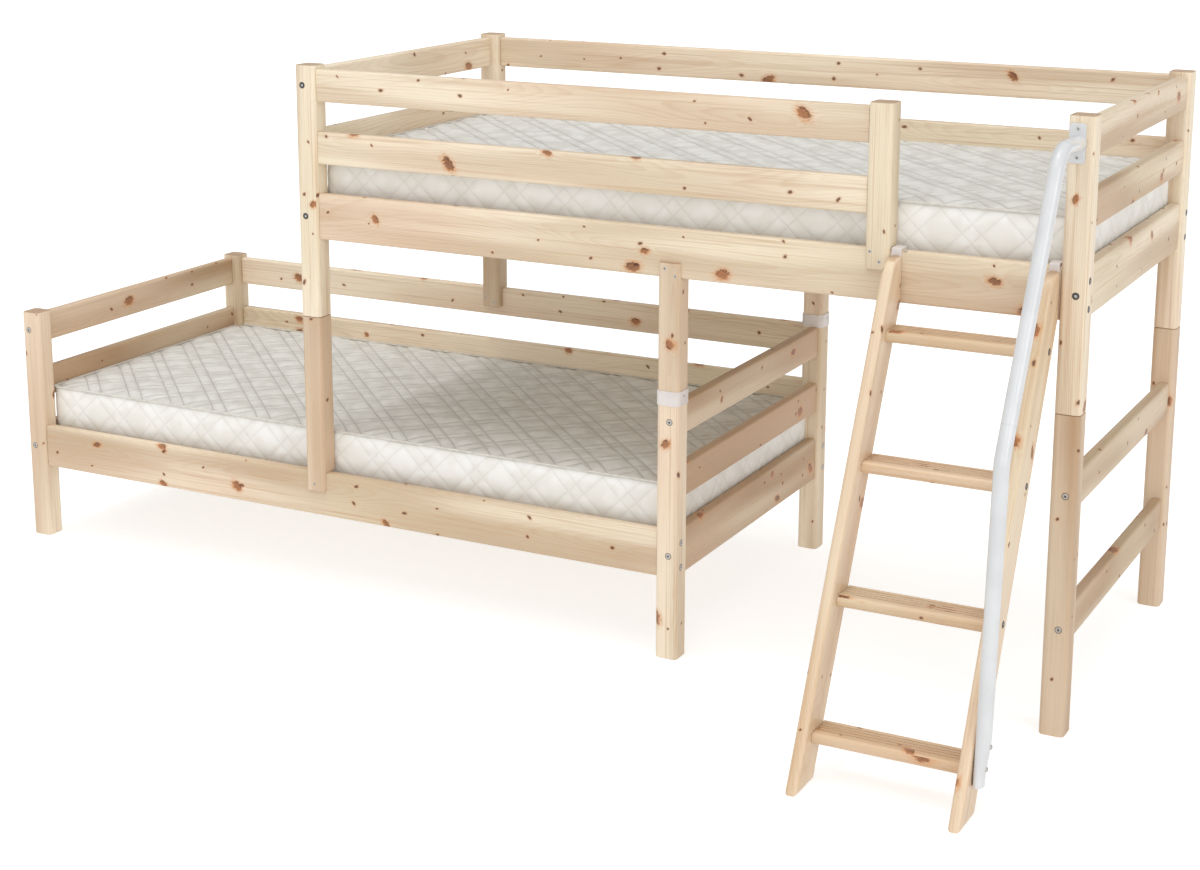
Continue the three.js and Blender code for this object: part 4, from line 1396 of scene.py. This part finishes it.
# %% The cover
STITCH = 0.0055
THREAD = 0.0016
# The border is whiter than the top: partly the cover's own colour and partly painted light from the
# front.
COVER_TOP = ((224, 223, 218), (213, 211, 205))
COVER_SIDE = ((246, 245, 241), (240, 238, 232))
SEAM_SHADE = screen_colour(186, 182, 173)


def cover_finish():
    material, tree = new_finish("quilted cover")
    u, v, _ = tree.parts(tree.add("ShaderNodeUVMap", {"uv_map": "cover"}))
    border = tree.mark("border")
    nearest = groove = None
    for s, along in ((u + v, u - v), (u - v, u + v)):
        stitch = ((along / STITCH).maths("FLOORED_MODULO", 1.0) - 0.5).size().smooth(0.1, 0.3)
        for start in LINE_STARTS:
            share = ((s - start) / STEP + 0.5).maths("FLOORED_MODULO", 1.0) - 0.5
            off = share.size() * (STEP / math.sqrt(2))
            one = (1 - off.smooth(0.0002, 0.0022)) * (0.6 + stitch * 0.4)
            nearest = off if nearest is None else nearest.maths("MINIMUM", off)
            groove = one if groove is None else groove.maths("MAXIMUM", one)
    valley = 1 - nearest.smooth(0.0, 0.011)
    flat = tree.combine(u, v, border * 3)
    crinkle = tree.noise(flat, 75.0, 2.0, Distortion=1.2)
    tufts = tree.noise(flat, 18.0, 1.0).smooth(0.4, 0.62)
    weave = (u * (2 * math.pi / THREAD)).maths("SINE") * (v * (2 * math.pi / THREAD)).maths("SINE")
    top, side = (tree.mix(screen_colour(*first), screen_colour(*second), tufts)
                 for first, second in (COVER_TOP, COVER_SIDE))
    # Painted shade: darker along the stitched grooves and in the valleys between the puffs.
    stitch_line_shade = (groove * 0.5 + valley * 0.16) * (1 - border * 0.72)
    height = crinkle * 0.5 * (1 - valley * 0.5) * (1 - border * 0.5)
    height = height - (groove * 1.1 + valley * 0.6) * (1 - border * 0.65) + weave * 0.04
    bump = {"Strength": 0.7, "Distance": 0.0022, "Height": height}
    tree.surface({
        "Base Color": tree.mix(tree.mix(top, side, border), SEAM_SHADE, stitch_line_shade),
        "Roughness": 0.82 + crinkle * 0.12,
        "Normal": tree.add("ShaderNodeBump", None, bump),
        "Sheen Weight": 0.15, "Specular IOR Level": 0.25,
    })
    return material


quilted_cover = cover_finish()
tape = plain_finish("edge tape", (222, 219, 211), (210, 206, 197), 0.85, 0.1, 60.0, 900.0, 0.0006,
                    {"Sheen Weight": 0.1})

# %% Lay the mattresses
TAPE_RADIUS = 3.0
# The height of each line of piping and how far it is let into the cover, in millimetres.
PIPING = {"top": (BORDER - 1, 1.6), "foot": (6, 2.2)}

for level, turned_by in (("lower", 0.0), ("upper", math.pi)):
    node = f"{level}_mattress"
    low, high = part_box(node)
    middle = Vector(((low.x + high.x) / 2, (low.y + high.y) / 2, low.z))
    mesh = block.data.copy()
    mesh.transform(Matrix.Translation(middle) @ Matrix.Rotation(turned_by, 4, "Z"))
    mesh.name = node + "_quilted"
    piece = painted(new_piece(node + "_quilted", mesh), quilted_cover)
    stands_for(piece, "ticking", node)
    for edge_name, (height, inset) in PIPING.items():
        half_x, half_y = cover_x - inset * MM, cover_y - inset * MM
        corners = [middle + Vector((side_x * half_x, side_y * half_y, height * MM))
                   for side_x, side_y in ((1, 1), (-1, 1), (-1, -1), (1, -1))]
        bend = MATTRESS_CORNER - inset
        piping = tube(f"{node}_{edge_name}_piping", corners, TAPE_RADIUS, bend, 10, True)
        stands_for(soft_edges(painted(piping, tape)), "ticking", node)
bpy.data.objects.remove(block)
print("mattresses: 2")

# %% [markdown]
# ## The floor, the light and the camera
#
# The bed stands in a white studio. A wide pale floor that glows a little runs off into a pale
# world, and large soft lamps light it from above, from the front and from the right. One of
# them is smaller, for the soft-edged shade of the upper bed. The photograph's lens was shifted
# far down, but every other view keeps the shift, so here it is small and the camera tilts.

# %% Floor
FLOOR_REACH = 60.0
WHITE = (1.0, 1.0, 1.0, 1.0)
DIM = (0.62, 0.62, 0.62, 1.0)

floor_finish = plain_finish("studio floor", (206, 206, 206), (205, 205, 205), 0.9, 0.0, 2.0, 40.0,
                            0.0, {"Emission Strength": 0.62})
glow = Tree(floor_finish.node_tree)
straight_on = glow.add("ShaderNodeLightPath", None, (), "Is Camera Ray")
shader = floor_finish.node_tree.nodes["Principled BSDF"]
glow.feed(shader.inputs["Emission Color"], glow.mix(DIM, WHITE, straight_on))
floor_mesh = bpy.data.meshes.new("floor")
corners = [(x * FLOOR_REACH, y * FLOOR_REACH, 0) for x, y in ((-1, -1), (1, -1), (1, 1), (-1, 1))]
floor_mesh.from_pydata(corners, [], [(0, 1, 2, 3)])
floor_mesh.materials.append(floor_finish)
new_piece("studio_floor", floor_mesh)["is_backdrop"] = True

# %% Light
SKY_LIGHT = 0.51
SKY_SEEN = 0.65
# The way each lamp shines, its strength and how wide it spreads in degrees.
LAMPS = {
    "overhead": ((0.04, 0.2, -0.98), 0.92, 60),
    "window": ((0.1, 0.12, -0.99), 0.36, 5),
    "front": ((-0.1, 0.93, -0.3), 0.41, 40),
    "right": ((-0.86, 0.4, -0.3), 0.66, 40),
}

bpy.context.scene.view_settings.view_transform = "Standard"
world = bpy.data.worlds.new("studio")
bpy.context.scene.world = world
world.use_nodes = True
world.node_tree.nodes.clear()
sky = Tree(world.node_tree)
seen = sky.add("ShaderNodeLightPath", None, (), "Is Camera Ray")
light = sky.add("ShaderNodeBackground", None, {"Color": WHITE, "Strength": SKY_LIGHT + seen * SKY_SEEN})
sky.add("ShaderNodeOutputWorld", None, {"Surface": light})
for name, (way, strength, spread) in LAMPS.items():
    lamp = bpy.data.lights.new(name, "SUN")
    lamp.angle = math.radians(spread)
    lamp.energy = strength
    new_piece(name, lamp).rotation_euler = Vector(way).to_track_quat("-Z", "Y").to_euler()
print("soft lamps:", len(LAMPS))

# %% Camera
YAW, PITCH, ROLL = (math.radians(v) for v in (-27.54, 12.47, 0.13))
PHOTO_WIDTH = 1200
FOCAL_PIXELS = 2110
LENS_SHIFT = -0.12
STANDPOINT = (4225, -4490, 2047)

level_x, level_y = math.sin(YAW) * math.cos(PITCH), math.cos(YAW) * math.cos(PITCH)
ahead = Vector((level_x, level_y, -math.sin(PITCH)))
right = Vector((math.cos(YAW), -math.sin(YAW), 0.0))
above = right.cross(ahead)
turned_right = right * math.cos(ROLL) + above * math.sin(ROLL)
turned_up = above * math.cos(ROLL) - right * math.sin(ROLL)
camera_data = bpy.data.cameras.new("camera")
camera_data.sensor_width = 36.0
camera_data.lens = camera_data.sensor_width * FOCAL_PIXELS / PHOTO_WIDTH
camera_data.shift_y = LENS_SHIFT
camera = new_piece("camera", camera_data)
camera.rotation_mode = "QUATERNION"
camera.rotation_quaternion = Matrix((turned_right, turned_up, -ahead)).transposed().to_quaternion()
camera.location = spot(*STANDPOINT)
bpy.context.scene.camera = camera
print("lens in millimetres:", round(camera_data.lens, 1))

# %% Size of the shown pieces
low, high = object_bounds()
print("size in metres:", [round(v, 4) for v in high - low])
